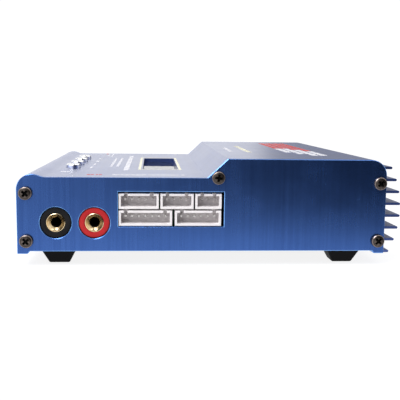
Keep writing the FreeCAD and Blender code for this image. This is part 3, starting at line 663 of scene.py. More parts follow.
@dataclass(frozen=True)
class DisplayGlass(Finish):
    """Switched-off two-line display with faint character cells."""

    dark: Colour = (0.022, 0.026, 0.036)
    cell: Colour = (0.026, 0.031, 0.041)
    columns: float = 16.0
    width: float = 0.0615
    row_height: float = 0.0070
    middle: float = -0.0192

    def paint(self, sheet: NodeSheet) -> bpy.types.Material:
        """Cells of tiny dots in two rows under polished glass.

        Args:
            sheet: The sheet to draw on.

        Returns:
            The finished material.
        """
        across = abs((sheet.axis(Axis.X) * (math.pi * self.columns / self.width)).wave())
        along = abs(((sheet.axis(Axis.Y) - self.middle) * (math.pi / self.row_height)).wave())
        dots_x = (sheet.axis(Axis.X) * (math.pi * self.columns * 12.0 / self.width)).wave()
        dots_y = (sheet.axis(Axis.Y) * (math.pi * 18.0 / self.row_height)).wave()
        cell = across.ease(0.22, 0.34) * along.ease(0.20, 0.32)
        dots = cell * (0.7 + abs(dots_x * dots_y) * 0.3)
        dust = sheet.grain(800.0, 4.0, 0.6).ease(0.6, 0.85)
        colour = sheet.blend(dots, self.dark, self.cell)
        return sheet.shader(
            Base_Color=colour,
            Roughness=0.10 + dust * 0.12,
            Normal=sheet.bump(dots, 0.00001, 0.2),
            Coat_Weight=1.0,
            Coat_Roughness=0.05,
        )


@dataclass(frozen=True)
class Glow(Finish):
    """Diffuser sheet behind the display, unlit."""

    colour: Colour = (0.62, 0.68, 0.66)

    def paint(self, sheet: NodeSheet) -> bpy.types.Material:
        """Rows of tiny light-spreading dots.

        Args:
            sheet: The sheet to draw on.

        Returns:
            The finished material.
        """
        dots = sheet.cells(1800.0).ease(0.2, 0.45)
        colour = sheet.blend(dots, scaled(self.colour, 0.85), self.colour)
        return sheet.shader(
            Base_Color=colour, Roughness=0.4 + dots * 0.2, Normal=sheet.bump(dots, 0.00003, 0.5)
        )


@dataclass(frozen=True)
class Wound(Finish):
    """Turns of wire or tape, wound round a core."""

    colour: Colour = (0.72, 0.30, 0.10)
    dark: Colour = (0.30, 0.11, 0.04)
    turns_per_metre: float = 900.0
    run: Axis = Axis.X
    metallic: float = 0.9
    roughness: float = 0.28

    def paint(self, sheet: NodeSheet) -> bpy.types.Material:
        """Round ridges, one per turn, with a varnish of uneven depth and painted shade in the grooves
        between turns.

        Args:
            sheet: The sheet to draw on.

        Returns:
            The finished material.
        """
        sway = sheet.grain(90.0, 2.0, 0.5) * 0.002
        turn = ((sheet.axis(self.run) + sway) * (math.pi * self.turns_per_metre)).wave()
        ridge = abs(turn)
        varnish = sheet.grain(400.0, 3.0, 0.6)
        # Painted shade: the colour darkens towards the dark colour in the grooves between turns.
        colour = sheet.blend(ridge.ease(0.0, 0.7) * (varnish * 0.4 + 0.7), self.dark, self.colour)
        return sheet.shader(
            Base_Color=colour,
            Metallic=self.metallic,
            Roughness=self.roughness + varnish * 0.15,
            Normal=sheet.bump(ridge, 0.0002, 0.8),
        )


@dataclass(frozen=True)
class Studio(Finish):
    """Pale seamless floor."""

    colour: Colour = (0.18, 0.18, 0.183)
    glow: float = 0.86
    near: float = 0.09
    far: float = 0.25

    def paint(self, sheet: NodeSheet) -> bpy.types.Material:
        """A matte sheet with the faintest mottling, fading into the sky, clear from below.

        Args:
            sheet: The sheet to draw on.

        Returns:
            The finished material.
        """
        mottle = sheet.grain(9.0, 3.0, 0.5)
        colour = sheet.blend(mottle, scaled(self.colour, 0.985), self.colour)
        across, along = sheet.axis(Axis.X), sheet.axis(Axis.Y)
        reach = (across * across + along * along) ** 0.5
        under = sheet.node("ShaderNodeNewGeometry", {}, {}, "Backfacing")
        return sheet.shader(
            Base_Color=colour,
            Roughness=0.55 + mottle * 0.05,
            Alpha=reach.ease(self.near, self.far, 1.0, 0.0) * (1.0 - under),
            Emission_Color=(1.0, 1.0, 1.0),
            Emission_Strength=self.glow,
            Specular_IOR_Level=0.1,
        )


FINISHES: dict[str, Finish] = {
    finish.name: finish
    for finish in (
        AnodisedAluminium("blue_anodised"),
        AnodisedAluminium(
            "blue_plate",
            deep=(0.041, 0.104, 0.340),
            pale=(0.053, 0.129, 0.400),
            edge=(0.17, 0.40, 0.86),
            lines=(2600.0, 2600.0, 26.0),
            flat_face=Axis.X,
            roughness=0.20,
            coat=0.04,
        ),
        AnodisedAluminium(
            "bottom_metal",
            deep=(0.018, 0.020, 0.026),
            pale=(0.032, 0.036, 0.044),
            edge=(0.20, 0.20, 0.22),
            flat_face=Axis.Z,
            roughness=0.45,
        ),
        BlackOxide("black_screw"),
        Rubber("foot_rubber"),
        ClearPanel("clear_window"),
        MouldedPlastic("display_black", (0.018, 0.018, 0.020), 0.5),
        DisplayGlass("display_glass"),
        Glow("display_light"),
        CircuitBoard("circuit_board"),
        BareMetal("button_chrome", (0.86, 0.87, 0.90), 0.07, tarnished=0.12),
        MouldedPlastic("switch_black", (0.020, 0.020, 0.021), 0.45),
        BareMetal("brass_standoff", (0.78, 0.60, 0.30), 0.25, (300.0, 300.0, 3500.0)),
        BareMetal("zinc_steel", (0.70, 0.72, 0.76), 0.28),
        MouldedPlastic("socket_black", (0.008, 0.008, 0.0095), 0.5, shine=0.10),
        MouldedPlastic(
            "socket_red", (0.42, 0.020, 0.023), 0.4, drift=0.10, shine=0.10
        ),
        BareMetal(
            "gold_contact",
            (1.0, 0.80, 0.50),
            0.12,
            (4200.0, 500.0, 500.0),
            0.000006,
            (0.50, 0.32, 0.14),
            # painted shade in the contact's bore behind this x place
            shaded_behind=0.0659,
        ),
        MouldedPlastic("header_white", (0.76, 0.725, 0.735), 0.45, drift=0.02),
        BareMetal("pin_tin", (0.88, 0.87, 0.84), 0.16, (900.0, 2500.0, 2500.0)),
        MouldedPlastic(
            "inlet_black", (0.005, 0.005, 0.006), 0.38, depth=0.00004, shine=0.2
        ),
        BareMetal("inlet_nickel", (0.80, 0.78, 0.74), 0.16, (2500.0, 500.0, 500.0)),
        MouldedPlastic("fan_black", (0.014, 0.014, 0.015), 0.48),
        MouldedPlastic("part_epoxy", (0.022, 0.022, 0.024), 0.58, 4200.0),
        MouldedPlastic("pad_grey", (0.36, 0.38, 0.40), 0.8, 1200.0),
        BareMetal("plain_aluminium", (0.82, 0.83, 0.85), 0.3, (40.0, 2600.0, 2600.0)),
        MouldedPlastic("ferrite", (0.050, 0.048, 0.047), 0.7, 2400.0, 0.00008),
        Wound(
            "winding_yellow", (0.86, 0.66, 0.10), (0.60, 0.42, 0.05), 60.0, Axis.Z, 0.0, 0.4
        ),
        Wound("copper_wire"),
        MouldedPlastic("capacitor_sleeve", (0.020, 0.030, 0.090), 0.25),
        ClearPanel("fuse_glass", (0.86, 0.92, 0.90), 0.02),
        PrintedInk("print_white", (0.64, 0.64, 0.68)),
        PrintedInk("print_cream", (0.66, 0.64, 0.50)),
        PrintedInk("print_yellow", (0.90, 0.76, 0.10)),
        PrintedInk("print_red", (0.52, 0.045, 0.040)),
    )
}


# ---------------------------------------------------------------------------------------------
# The bench: modelling with operators
# ---------------------------------------------------------------------------------------------
@dataclass
class Limits:
    """A box in millimetres."""

    low: Vector
    high: Vector

    @classmethod
    def of_node(cls, node: str) -> "Limits":
        """The box of a CAD node."""
        low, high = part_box(node)
        return cls(low / MM, high / MM)

    @property
    def middle(self) -> Vector:
        """The box's centre."""
        return (self.low + self.high) / 2

    @property
    def size(self) -> Vector:
        """The box's lengths."""
        return self.high - self.low


class Part(Enum):
    """Parts of a mesh that can be picked, by the name of their select mode."""

    FACES = "FACE"
    EDGES = "EDGE"


class Bench:
    """Adds, shapes and finishes meshes with Blender's operators, in millimetres."""

    @staticmethod
    def clear() -> None:
        """Leaves edit mode and deselects everything."""
        if bpy.context.object and bpy.context.object.mode != "OBJECT":
            bpy.ops.object.mode_set(mode="OBJECT")
        bpy.ops.object.select_all(action="DESELECT")

    @classmethod
    def hold(cls, *pieces: bpy.types.Object) -> bpy.types.Object:
        """Selects the pieces and makes the first one active.

        Args:
            pieces: The pieces to select.

        Returns:
            The first piece.
        """
        cls.clear()
        for piece in pieces:
            piece.select_set(True)
        bpy.context.view_layer.objects.active = pieces[0]
        return pieces[0]

    @staticmethod
    def named(name: str) -> bpy.types.Object:
        """Names the object that an operator has just added, and its mesh.

        Args:
            name: The name.

        Returns:
            The object.
        """
        piece = bpy.context.object
        piece.name = name
        piece.data.name = name
        return piece

    @staticmethod
    def apply() -> None:
        """Applies the active piece's place, turn and size to its mesh."""
        bpy.ops.object.transform_apply(location=True, rotation=True, scale=True)

    @staticmethod
    def add(name: str, data: bpy.types.ID) -> bpy.types.Object:
        """Puts an object in the scene.

        Args:
            name: Its name.
            data: Its mesh, light or camera.

        Returns:
            The object.
        """
        made = bpy.data.objects.new(name, data)
        bpy.context.scene.collection.objects.link(made)
        return made

    @classmethod
    def block(cls, name: str, low: Iterable[float], high: Iterable[float]) -> bpy.types.Object:
        """A box between two corners, to be shaped further.

        Args:
            name: The piece's name.
            low: Lowest corner.
            high: Highest corner.

        Returns:
            The box.
        """
        cls.clear()
        low, high = Vector(low), Vector(high)
        bpy.ops.mesh.primitive_cube_add(size=1.0, location=(low + high) / 2, scale=high - low)
        piece = cls.named(name)
        cls.apply()
        return piece

    @classmethod
    def turned(
        cls,
        name: str,
        axis: Axis,
        stations: Iterable[tuple[float, float]],
        centre: Triple = (0.0, 0.0, 0.0),
        sides: int = 48,
    ) -> bpy.types.Object:
        """A lathe-turned piece: a disc extruded and resized from station to station.

        Args:
            name: The piece's name.
            axis: The turning axis.
            stations: Reach along the axis and radius, from the back face round to the last face.
            centre: The point that reach is measured from.
            sides: Number of sides.

        Returns:
            The turned piece.
        """
        cls.clear()
        stations = list(stations)
        along = axis.vector
        reach, radius = stations[0]
        bpy.ops.mesh.primitive_circle_add(
            vertices=sides,
            radius=radius,
            fill_type="NGON",
            location=Vector(centre) + along * reach,
            rotation=axis.tilt,
        )
        piece = cls.named(name)
        cls.apply()
        bpy.ops.object.mode_set(mode="EDIT")
        bpy.ops.mesh.select_all(action="SELECT")
        for next_reach, next_radius in stations[1:]:
            step = along * (next_reach - reach)
            bpy.ops.mesh.extrude_region_move(TRANSFORM_OT_translate={"value": step})
            if next_radius != radius:
                factor = next_radius / radius
                bpy.ops.transform.resize(
                    value=[1.0 if part else factor for part in axis.value],
                    center_override=Vector(centre) + along * next_reach,
                )
            reach, radius = next_reach, next_radius
        bpy.ops.object.mode_set(mode="OBJECT")
        return piece

    @classmethod
    def pick(cls, piece: bpy.types.Object, wanted: Callable, kind: Part = Part.FACES) -> int:
        """Enters edit mode with only the wanted faces or edges selected.

        Args:
            piece: The piece to edit.
            wanted: Test that takes a face or an edge.
            kind: Faces or edges.

        Returns:
            How many were selected.
        """
        cls.hold(piece)
        bpy.ops.object.mode_set(mode="EDIT")
        bpy.ops.mesh.select_mode(type=kind.value)
        bpy.ops.mesh.select_all(action="DESELECT")
        grid = bmesh.from_edit_mesh(piece.data)
        parts = grid.faces if kind is Part.FACES else grid.edges
        chosen = [part for part in parts if wanted(part)]
        for part in chosen:
            part.select_set(True)
        grid.select_flush_mode()
        bmesh.update_edit_mesh(piece.data)
        return len(chosen)

    @classmethod
    def recess(
        cls, piece: bpy.types.Object, wanted: Callable, rim: float, push: Iterable[float]
    ) -> None:
        """Insets the wanted faces and pushes the middle in or out.

        Args:
            piece: The piece to edit.
            wanted: Test that picks the faces.
            rim: Width left round them.
            push: The move of the inner face.
        """
        cls.pick(piece, wanted)
        if rim:
            bpy.ops.mesh.inset(thickness=rim, depth=0.0, use_even_offset=True)
        bpy.ops.mesh.extrude_region_move(TRANSFORM_OT_translate={"value": tuple(push)})
        bpy.ops.object.mode_set(mode="OBJECT")

    @classmethod
    def taper(
        cls, piece: bpy.types.Object, wanted: Callable, factor: Triple, centre: Iterable[float]
    ) -> None:
        """Resizes the wanted faces about a point.

        Args:
            piece: The piece to edit.
            wanted: Test that picks the faces.
            factor: Scale along x, y and z.
            centre: The fixed point.
        """
        cls.pick(piece, wanted)
        bpy.ops.transform.resize(value=factor, center_override=tuple(centre))
        bpy.ops.object.mode_set(mode="OBJECT")

    @classmethod
    def round_edges(
        cls, piece: bpy.types.Object, wanted: Callable, radius: float, segments: int = 3
    ) -> None:
        """Bevels the wanted edges in edit mode.

        Args:
            piece: The piece to edit.
            wanted: Test that picks the edges.
            radius: Bevel width.
            segments: Bevel segments.
        """
        if cls.pick(piece, wanted, Part.EDGES):
            bpy.ops.mesh.bevel(offset=radius, segments=segments, affect="EDGES")
        bpy.ops.object.mode_set(mode="OBJECT")

    @classmethod
    def soften(
        cls,
        piece: bpy.types.Object,
        width: float,
        segments: int = 2,
        angle: float = 30.0,
        clamp: bool = True,
    ) -> bpy.types.Object:
        """Bevels every sharp edge with an applied modifier.

        Args:
            piece: The piece to soften.
            width: Bevel width.
            segments: Bevel segments.
            angle: Edges sharper than this, in degrees, are bevelled.
            clamp: False to keep the full width next to short edges.

        Returns:
            The piece.
        """
        cls.hold(piece)
        bevel = piece.modifiers.new("soften", "BEVEL")
        bevel.width = width
        bevel.segments = segments
        bevel.limit_method = "ANGLE"
        bevel.angle_limit = math.radians(angle)
        bevel.use_clamp_overlap = clamp
        bpy.ops.object.modifier_apply(modifier=bevel.name)
        return piece

    @classmethod
    def cut(cls, piece: bpy.types.Object, *cutters: bpy.types.Object) -> bpy.types.Object:
        """Subtracts the cutters and throws them away.

        Args:
            piece: The piece to cut.
            cutters: Closed meshes.

        Returns:
            The piece.
        """
        for cutter in cutters:
            cls.outward(cutter)
            cls.outward(piece)
            cls.hold(piece)
            knife = piece.modifiers.new("cut", "BOOLEAN")
            knife.operation = "DIFFERENCE"
            knife.solver = "EXACT"
            knife.object = cutter
            bpy.ops.object.modifier_apply(modifier=knife.name)
            bpy.data.meshes.remove(cutter.data)
        return piece

    @classmethod
    def outward(cls, piece: bpy.types.Object, weld: float = 0.0004) -> None:
        """Merges doubles and turns every face outwards.

        Args:
            piece: The piece to settle.
            weld: Merge distance.
        """
        cls.hold(piece)
        bpy.ops.object.mode_set(mode="EDIT")
        bpy.ops.mesh.select_all(action="SELECT")
        bpy.ops.mesh.remove_doubles(threshold=weld)
        bpy.ops.mesh.normals_make_consistent(inside=False)
        bpy.ops.object.mode_set(mode="OBJECT")

    @classmethod
    def copy(
        cls, pattern: bpy.types.Object, name: str, place: Iterable[float], turn: Triple = (0, 0, 0)
    ) -> bpy.types.Object:
        """Copies a pattern with its own mesh to another place.

        Args:
            pattern: A piece modelled round the origin.
            name: The copy's name.
            place: Where its origin goes.
            turn: Its turn about x, y and z, in radians.

        Returns:
            The copy, applied.
        """
        made = cls.add(name, pattern.data.copy())
        made.data.name = name
        made.location = tuple(place)
        made.rotation_euler = turn
        cls.hold(made)
        cls.apply()
        return made

    @classmethod
    def join(cls, name: str, pieces: list[bpy.types.Object]) -> bpy.types.Object:
        """Joins pieces into one object.

        Args:
            name: The object's name.
            pieces: The pieces to join.

        Returns:
            The object.
        """
        cls.hold(*pieces)
        if len(pieces) > 1:
            bpy.ops.object.join()
        return cls.named(name)

    @classmethod
    def uncap(cls, ring: bpy.types.Object) -> None:
        """Deletes the discs at both ends of a turned ring, so that only its walls stay.

        Args:
            ring: The turned ring.
        """
        cls.pick(ring, lambda face: len(face.verts) > 8)
        bpy.ops.mesh.delete(type="FACE")
        bpy.ops.object.mode_set(mode="OBJECT")

    @classmethod
    def to_metres(cls, piece: bpy.types.Object) -> None:
        """Resizes a piece that was modelled in millimetres.

        Args:
            piece: The piece.
        """
        cls.hold(piece)
        piece.scale = (MM, MM, MM)
        cls.apply()

    @staticmethod
    def discard(*pieces: bpy.types.Object) -> None:
        """Removes patterns that were only copied from."""
        for piece in pieces:
            bpy.data.meshes.remove(piece.data)

    @staticmethod
    def mark(piece: bpy.types.Object, name: str, rule: Callable[[Vector], float]) -> None:
        """Stores a number on each point of the piece.

        Args:
            piece: The piece.
            name: The number's name.
            rule: Gives the number at a place in millimetres.
        """
        layer = piece.data.attributes.new(name, "FLOAT", "POINT")
        layer.data.foreach_set("value", [rule(point.co) for point in piece.data.vertices])

    @classmethod
    def fit(
        cls,
        piece: bpy.types.Object,
        slot: str,
        body: str = "case",
        stands_for: Iterable[str] = (),
        smooth: float = 32.0,
        in_metres: bool = False,
    ) -> bpy.types.Object:
        """Finishes a piece: metres, shading, material and its place in the frame.

        Args:
            piece: The modelled piece.
            slot: The record's material slot.
            body: The CAD body that it rides on.
            stands_for: CAD nodes that it replaces.
            smooth: Edges flatter than this, in degrees, are shaded smooth.
            in_metres: True if the mesh is in metres already.

        Returns:
            The finished piece.
        """
        if not in_metres:
            cls.outward(piece)
            cls.to_metres(piece)
        cls.hold(piece)
        bpy.ops.object.shade_smooth_by_angle(angle=math.radians(smooth))
        even = piece.modifiers.new("even", "WEIGHTED_NORMAL")
        even.keep_sharp = True
        even.weight = 100
        bpy.ops.object.modifier_apply(modifier=even.name)
        piece.data.materials.clear()
        piece.data.materials.append(FINISHES[slot].material())
        for node in stands_for:
            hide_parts(node)
        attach(piece, body)
        log.info("%s: %d faces, %s, rides %s", piece.name, len(piece.data.polygons), slot, body)
        return piece


def facing(direction: Iterable[float], least: float = 0.9) -> Callable:
    """Test for faces that look a given way."""
    way = Vector(direction)
    return lambda face: face.normal.dot(way) > least


def along_edge(axis: Axis) -> Callable:
    """Test for straight edges that run along an axis.

    Args:
        axis: The axis.

    Returns:
        The test, which takes an edge.
    """
    way = axis.vector

    def test(edge: bmesh.types.BMEdge) -> bool:
        """True if the edge runs that way."""
        run = edge.verts[1].co - edge.verts[0].co
        return run.length > 0 and abs(run.normalized().dot(way)) > 0.999

    return test


def dome(start: float, depth: float, radius: float, turns: Iterable[float]) -> list[Pair]:
    """Stations of a rounded tip.

    Args:
        start: Reach along the axis where the rounding starts.
        depth: How far the tip goes on towards lower reach.
        radius: Radius where the rounding starts.
        turns: Angles round the tip, in radians.

    Returns:
        Reach and radius at each angle.
    """
    return [(start - depth * math.sin(turn), radius * math.cos(turn)) for turn in turns]


# ---------------------------------------------------------------------------------------------
# Sub-assemblies
# ---------------------------------------------------------------------------------------------
@dataclass
class CaseShell:
    """The extrusion and both end plates: the CAD shapes with their sharp edges broken."""

    # node, slot, width of the broken edges, and whether short edges narrow it
    shells: tuple[tuple[str, str, float, bool], ...] = (
        ("housing_extrusion", "blue_anodised", 0.12, True),
        ("output_end_plate", "blue_plate", 0.22, False),
        ("input_end_plate", "blue_plate", 0.22, False),
    )
    weld: float = 0.01
    flat: float = 0.6
    sharp: float = 28.0

    def build(self) -> None:
        """Copies, merges, cleans and softens each shell."""
        for node, slot, width, clamp in self.shells:
            piece = Bench.add(f"{node}_shell", frame["nodes"][node].data.copy())
            piece.data.name = piece.name
            Bench.hold(piece)
            bpy.ops.object.mode_set(mode="EDIT")
            bpy.ops.mesh.select_all(action="SELECT")
            bpy.ops.mesh.remove_doubles(threshold=self.weld * MM)
            bpy.ops.mesh.dissolve_limited(angle_limit=math.radians(self.flat))
            bpy.ops.object.mode_set(mode="OBJECT")
            Bench.soften(piece, width * MM, 1, self.sharp, clamp)
            Bench.fit(piece, slot, stands_for=[node], in_metres=True)


@dataclass
class EndScrews:
    """Five black cross-recess pan screws in each end plate."""

    head: float = 2.5
    height: float = 1.7
    shank: float = 1.45
    reach: float = 10.0
    arm: float = 1.72
    slot_width: float = 0.94
    slot_taper: float = 0.62
    depth: float = 1.35
    point: float = 0.8
    point_share: float = 0.55
    crown: tuple[Pair, ...] = ((0.55, 1.0), (0.76, 0.94), (0.90, 0.80), (0.97, 0.58), (1.0, 0.30))
    edge: float = 0.12
    bright_rim_share: float = 0.93
    bright_rim_width: float = 0.55
    mouth_wear: float = 0.6
    mouth_radius: float = 1.7
    cross_shade_share: float = 0.4
    places: tuple[Pair, ...] = (
        (-68.95, 9.7),
        (-68.95, 27.5),
        (1.9, 33.5),
        (63.35, 31.7),
        (63.35, 9.7),
    )
    seed: int = 11

    def pattern(self) -> bpy.types.Object:
        """Makes one screw with its seat at the origin, facing +x.

        Returns:
            The screw.
        """
        head, top = self.head, self.height
        stations = [
            (-self.reach, self.shank * self.point_share),
            (-self.reach + self.point, self.shank),
            (0.0, self.shank),
            (0.0, head - self.edge),
            (self.edge, head),
        ]
        stations += [(up * top, out * head) for up, out in self.crown]
        screw = Bench.turned("screw_pattern", Axis.X, stations, sides=40)
        for turned in (False, True):
            half = (self.slot_width / 2, self.arm) if turned else (self.arm, self.slot_width / 2)
            bar = Bench.block(
                "cross", (top - self.depth, -half[0], -half[1]), (top + 1.0, half[0], half[1])
            )
            shrink = (1.0, 1.0, self.slot_taper) if turned else (1.0, self.slot_taper, 1.0)
            Bench.taper(bar, facing((-1, 0, 0)), shrink, (top - self.depth, 0, 0))
            Bench.cut(screw, bar)
        Bench.mark(screw, "wear_and_painted_light", self.wear_and_painted_light)
        return screw

    def wear_and_painted_light(self, point: Vector) -> float:
        """Bare metal round the rim of the head, also a painted highlight, a little at the mouth, and
        painted shade down in the cross.

        Args:
            point: A place on the screw.

        Returns:
            Wear and painted highlight up to 1; -1 is painted shade in the cross.
        """
        radius = math.hypot(point.y, point.z)
        # Painted shade: the lower part of the cross recess is marked -1, to be painted near black.
        if self.height - point.x > self.cross_shade_share * self.depth and radius < self.arm + 0.1:
            return -1.0
        # The rim band is worn metal and also a painted highlight.
        rim = 1.0 - min(1.0, abs(radius - self.bright_rim_share * self.head) / self.bright_rim_width)
        at_mouth = point.x > 0.86 * self.height and radius < self.mouth_radius
        mouth = self.mouth_wear if at_mouth else 0.0
        return max(rim if point.x > 0.3 else 0.0, mouth)

    def build(self) -> None:
        """Places five screws on each plate, each with its cross at its own angle."""
        draw = random.Random(self.seed)
        pattern = self.pattern()
        for end, side in (("output", 1), ("input", -1)):
            node = f"{end}_plate_screws"
            face = Limits.of_node(node)
            seat = (face.high.x if side > 0 else face.low.x) - side * self.height
            for index, (y, z) in enumerate(self.places, 1):
                spin = draw.uniform(0.0, math.pi / 2)
                turn = (spin, 0.0, 0.0 if side > 0 else math.pi)
                piece = Bench.copy(pattern, f"{end}_screw_{index}", (seat, y, z), turn)
                Bench.fit(piece, "black_screw", stands_for=[node], smooth=38.0)
        Bench.discard(pattern)


@dataclass
class Feet:
    """Four tapered rubber feet with a screw well underneath."""

    top: float = 12.5
    bottom: float = 7.6
    height: float = 5.8
    rim: float = 1.0
    corner: float = 1.0
    edge: float = 0.35
    well: float = 2.0
    well_depth: float = 1.4
    well_edge: float = 0.2
    nodes: tuple[str, ...] = (
        "foot_low_output",
        "foot_high_output",
        "foot_low_input",
        "foot_high_input",
    )

    def pattern(self) -> bpy.types.Object:
        """Makes one foot standing on the origin.

        Returns:
            The foot.
        """
        half = self.top / 2
        split = self.height - self.rim
        foot = Bench.block("foot_pattern", (-half, -half, split), (half, half, self.height))
        Bench.round_edges(foot, along_edge(Axis.Z), self.corner, 4)
        Bench.recess(foot, facing((0, 0, -1)), 0.0, (0, 0, -split))
        ratio = self.bottom / self.top
        Bench.taper(foot, facing((0, 0, -1)), (ratio, ratio, 1.0), (0, 0, 0))
        Bench.soften(foot, self.edge, 3, 25.0)
        stations = [
            (-1.0, self.well),
            (self.well_depth - self.well_edge, self.well),
            (self.well_depth, self.well - self.well_edge),
        ]
        well = Bench.turned("well", Axis.Z, stations)
        return Bench.cut(foot, well)

    def build(self) -> None:
        """Places the four feet."""
        pattern = self.pattern()
        for node in self.nodes:
            middle = Limits.of_node(node).middle
            piece = Bench.copy(pattern, node.replace("foot", "rubber_foot"), (middle.x, middle.y, 0.0))
            Bench.fit(piece, "foot_rubber", stands_for=[node])
        Bench.discard(pattern)


@dataclass
class Buttons:
    """Four chrome push buttons with flanged caps; each one rides on its own body."""

    radius: float = 3.0
    flange: float = 3.9
    flange_height: float = 0.8
    flange_top: float = 31.2
    stem: float = 1.75
    crown: float = 0.8
    steps: int = 6
    edge: float = 0.2
    swell: float = 0.12
    crown_reach: float = 1.5
    top_rings: tuple[Pair, ...] = ((0.05, 0.42), (0.0, 0.16))
    names: tuple[str, ...] = ("stop_button", "decrease_button", "increase_button", "start_button")

    def build(self) -> None:
        """Turns one cap and copies it to the four places."""
        shape = Limits.of_node(self.names[0])
        low, top = shape.low.z, shape.high.z
        flange_low = self.flange_top - self.flange_height
        stations = [
            (low, self.stem - self.edge),
            (low + self.edge, self.stem),
            (flange_low, self.stem),
            (flange_low, self.flange),
            (self.flange_top, self.flange),
            (self.flange_top, self.radius),
        ]
        for step in range(self.steps + 1):
            turn = math.pi / 2 * step / self.steps
            drop = self.crown * (1.0 - math.sin(turn))
            inward = self.crown * self.crown_reach * (1.0 - math.cos(turn))
            stations.append((top - self.swell - drop, self.radius - inward))
        stations += [(top - drop, self.radius * share) for drop, share in self.top_rings]
        pattern = Bench.turned("cap_pattern", Axis.Z, stations, sides=56)
        for name in self.names:
            middle = Limits.of_node(name).middle
            piece = Bench.copy(pattern, f"{name}_cap", (middle.x, middle.y, 0.0))
            Bench.fit(piece, "button_chrome", name, [name], 40.0)
        Bench.discard(pattern)


@dataclass
class OutputSockets:
    """Negative and positive output sockets: an insulating bush and a gilded sleeve each."""

    radius: float = 5.65
    flange: float = 6.7
    flange_thickness: float = 2.0
    shell: float = 65.5
    barrel: float = 5.05
    lip: float = 0.55
    collar: float = 3.5
    collar_depth: float = 1.6
    sleeve: float = 3.0
    gap: float = 0.01
    bore: float = 2.0
    funnel: float = 1.35
    bore_depth: float = 15.0
    tail: float = 1.5
    tail_edge: float = 0.25
    round_over: float = 0.45
    round_mid: float = 0.12
    collar_edge: float = 0.3
    sides: int = 64

    def bush(self, name: str, front: float, back: float) -> bpy.types.Object:
        """An insulating bush about the x axis.

        Args:
            name: Its name.
            front: Its front face.
            back: Its back face.

        Returns:
            The bush.
        """
        flange_back = self.shell - self.flange_thickness
        seat = self.collar + self.gap
        core = self.sleeve + self.gap
        stations = [
            (back, core),
            (back, self.barrel),
            (flange_back, self.barrel),
            (flange_back, self.flange),
            (self.shell, self.flange),
            (self.shell, self.radius),
            (front - self.lip, self.radius),
            (front - 0.16, self.radius - self.round_mid),
            (front, self.radius - self.round_over),
            (front, seat + self.round_over),
            (front - self.round_mid, seat + self.round_mid),
            (front - self.collar_edge, seat),
            (front - self.collar_depth, seat),
            (front - self.collar_depth, core),
            (back, core),
        ]
        piece = Bench.turned(name, Axis.X, stations, sides=self.sides)
        Bench.uncap(piece)
        return piece

    def contact(self, name: str, front: float, back: float, tail_end: float) -> bpy.types.Object:
        """A gilded sleeve with a funnel mouth about the x axis.

        Args:
            name: Its name.
            front: Its front face.
            back: Back of the sleeve.
            tail_end: End of the threaded tail.

        Returns:
            The sleeve.
        """
        mouth = self.bore + self.funnel - 0.12
        stations = [
            (tail_end, self.tail - self.tail_edge),
            (tail_end + self.tail_edge, self.tail),
            (back, self.tail),
            (back, self.sleeve),
            (front - self.collar_depth, self.sleeve),
            (front - self.collar_depth, self.collar),
            (front - self.collar_edge, self.collar),
            (front - 0.08, self.collar - 0.08),
            (front, self.collar - 0.22),
            (front, mouth + 0.06),
            (front - 0.08, mouth),
            (front - 0.5, mouth - 0.34),
            (front - self.funnel, self.bore),
            (front - self.bore_depth, self.bore),
            (front - self.bore_depth - 0.8, self.bore * 0.25),
        ]
        return Bench.turned(name, Axis.X, stations, sides=self.sides)

    def build(self) -> None:
        """Makes both sockets at their nodes."""
        for pole, slot in (("negative", "socket_black"), ("positive", "socket_red")):
            shell = Limits.of_node(f"{pole}_socket_bush")
            metal = Limits.of_node(f"{pole}_socket_contact")
            place = (0.0, shell.middle.y, shell.middle.z)
            bush = self.bush("bush_pattern", shell.high.x, shell.low.x)
            piece = Bench.copy(bush, f"{pole}_bush", place)
            Bench.fit(piece, slot, stands_for=[f"{pole}_socket_bush"], smooth=40.0)
            sleeve = self.contact("sleeve_pattern", metal.high.x, shell.low.x, metal.low.x)
            piece = Bench.copy(sleeve, f"{pole}_sleeve", place)
            Bench.fit(piece, "gold_contact", stands_for=[f"{pole}_socket_contact"], smooth=40.0)
            Bench.discard(bush, sleeve)


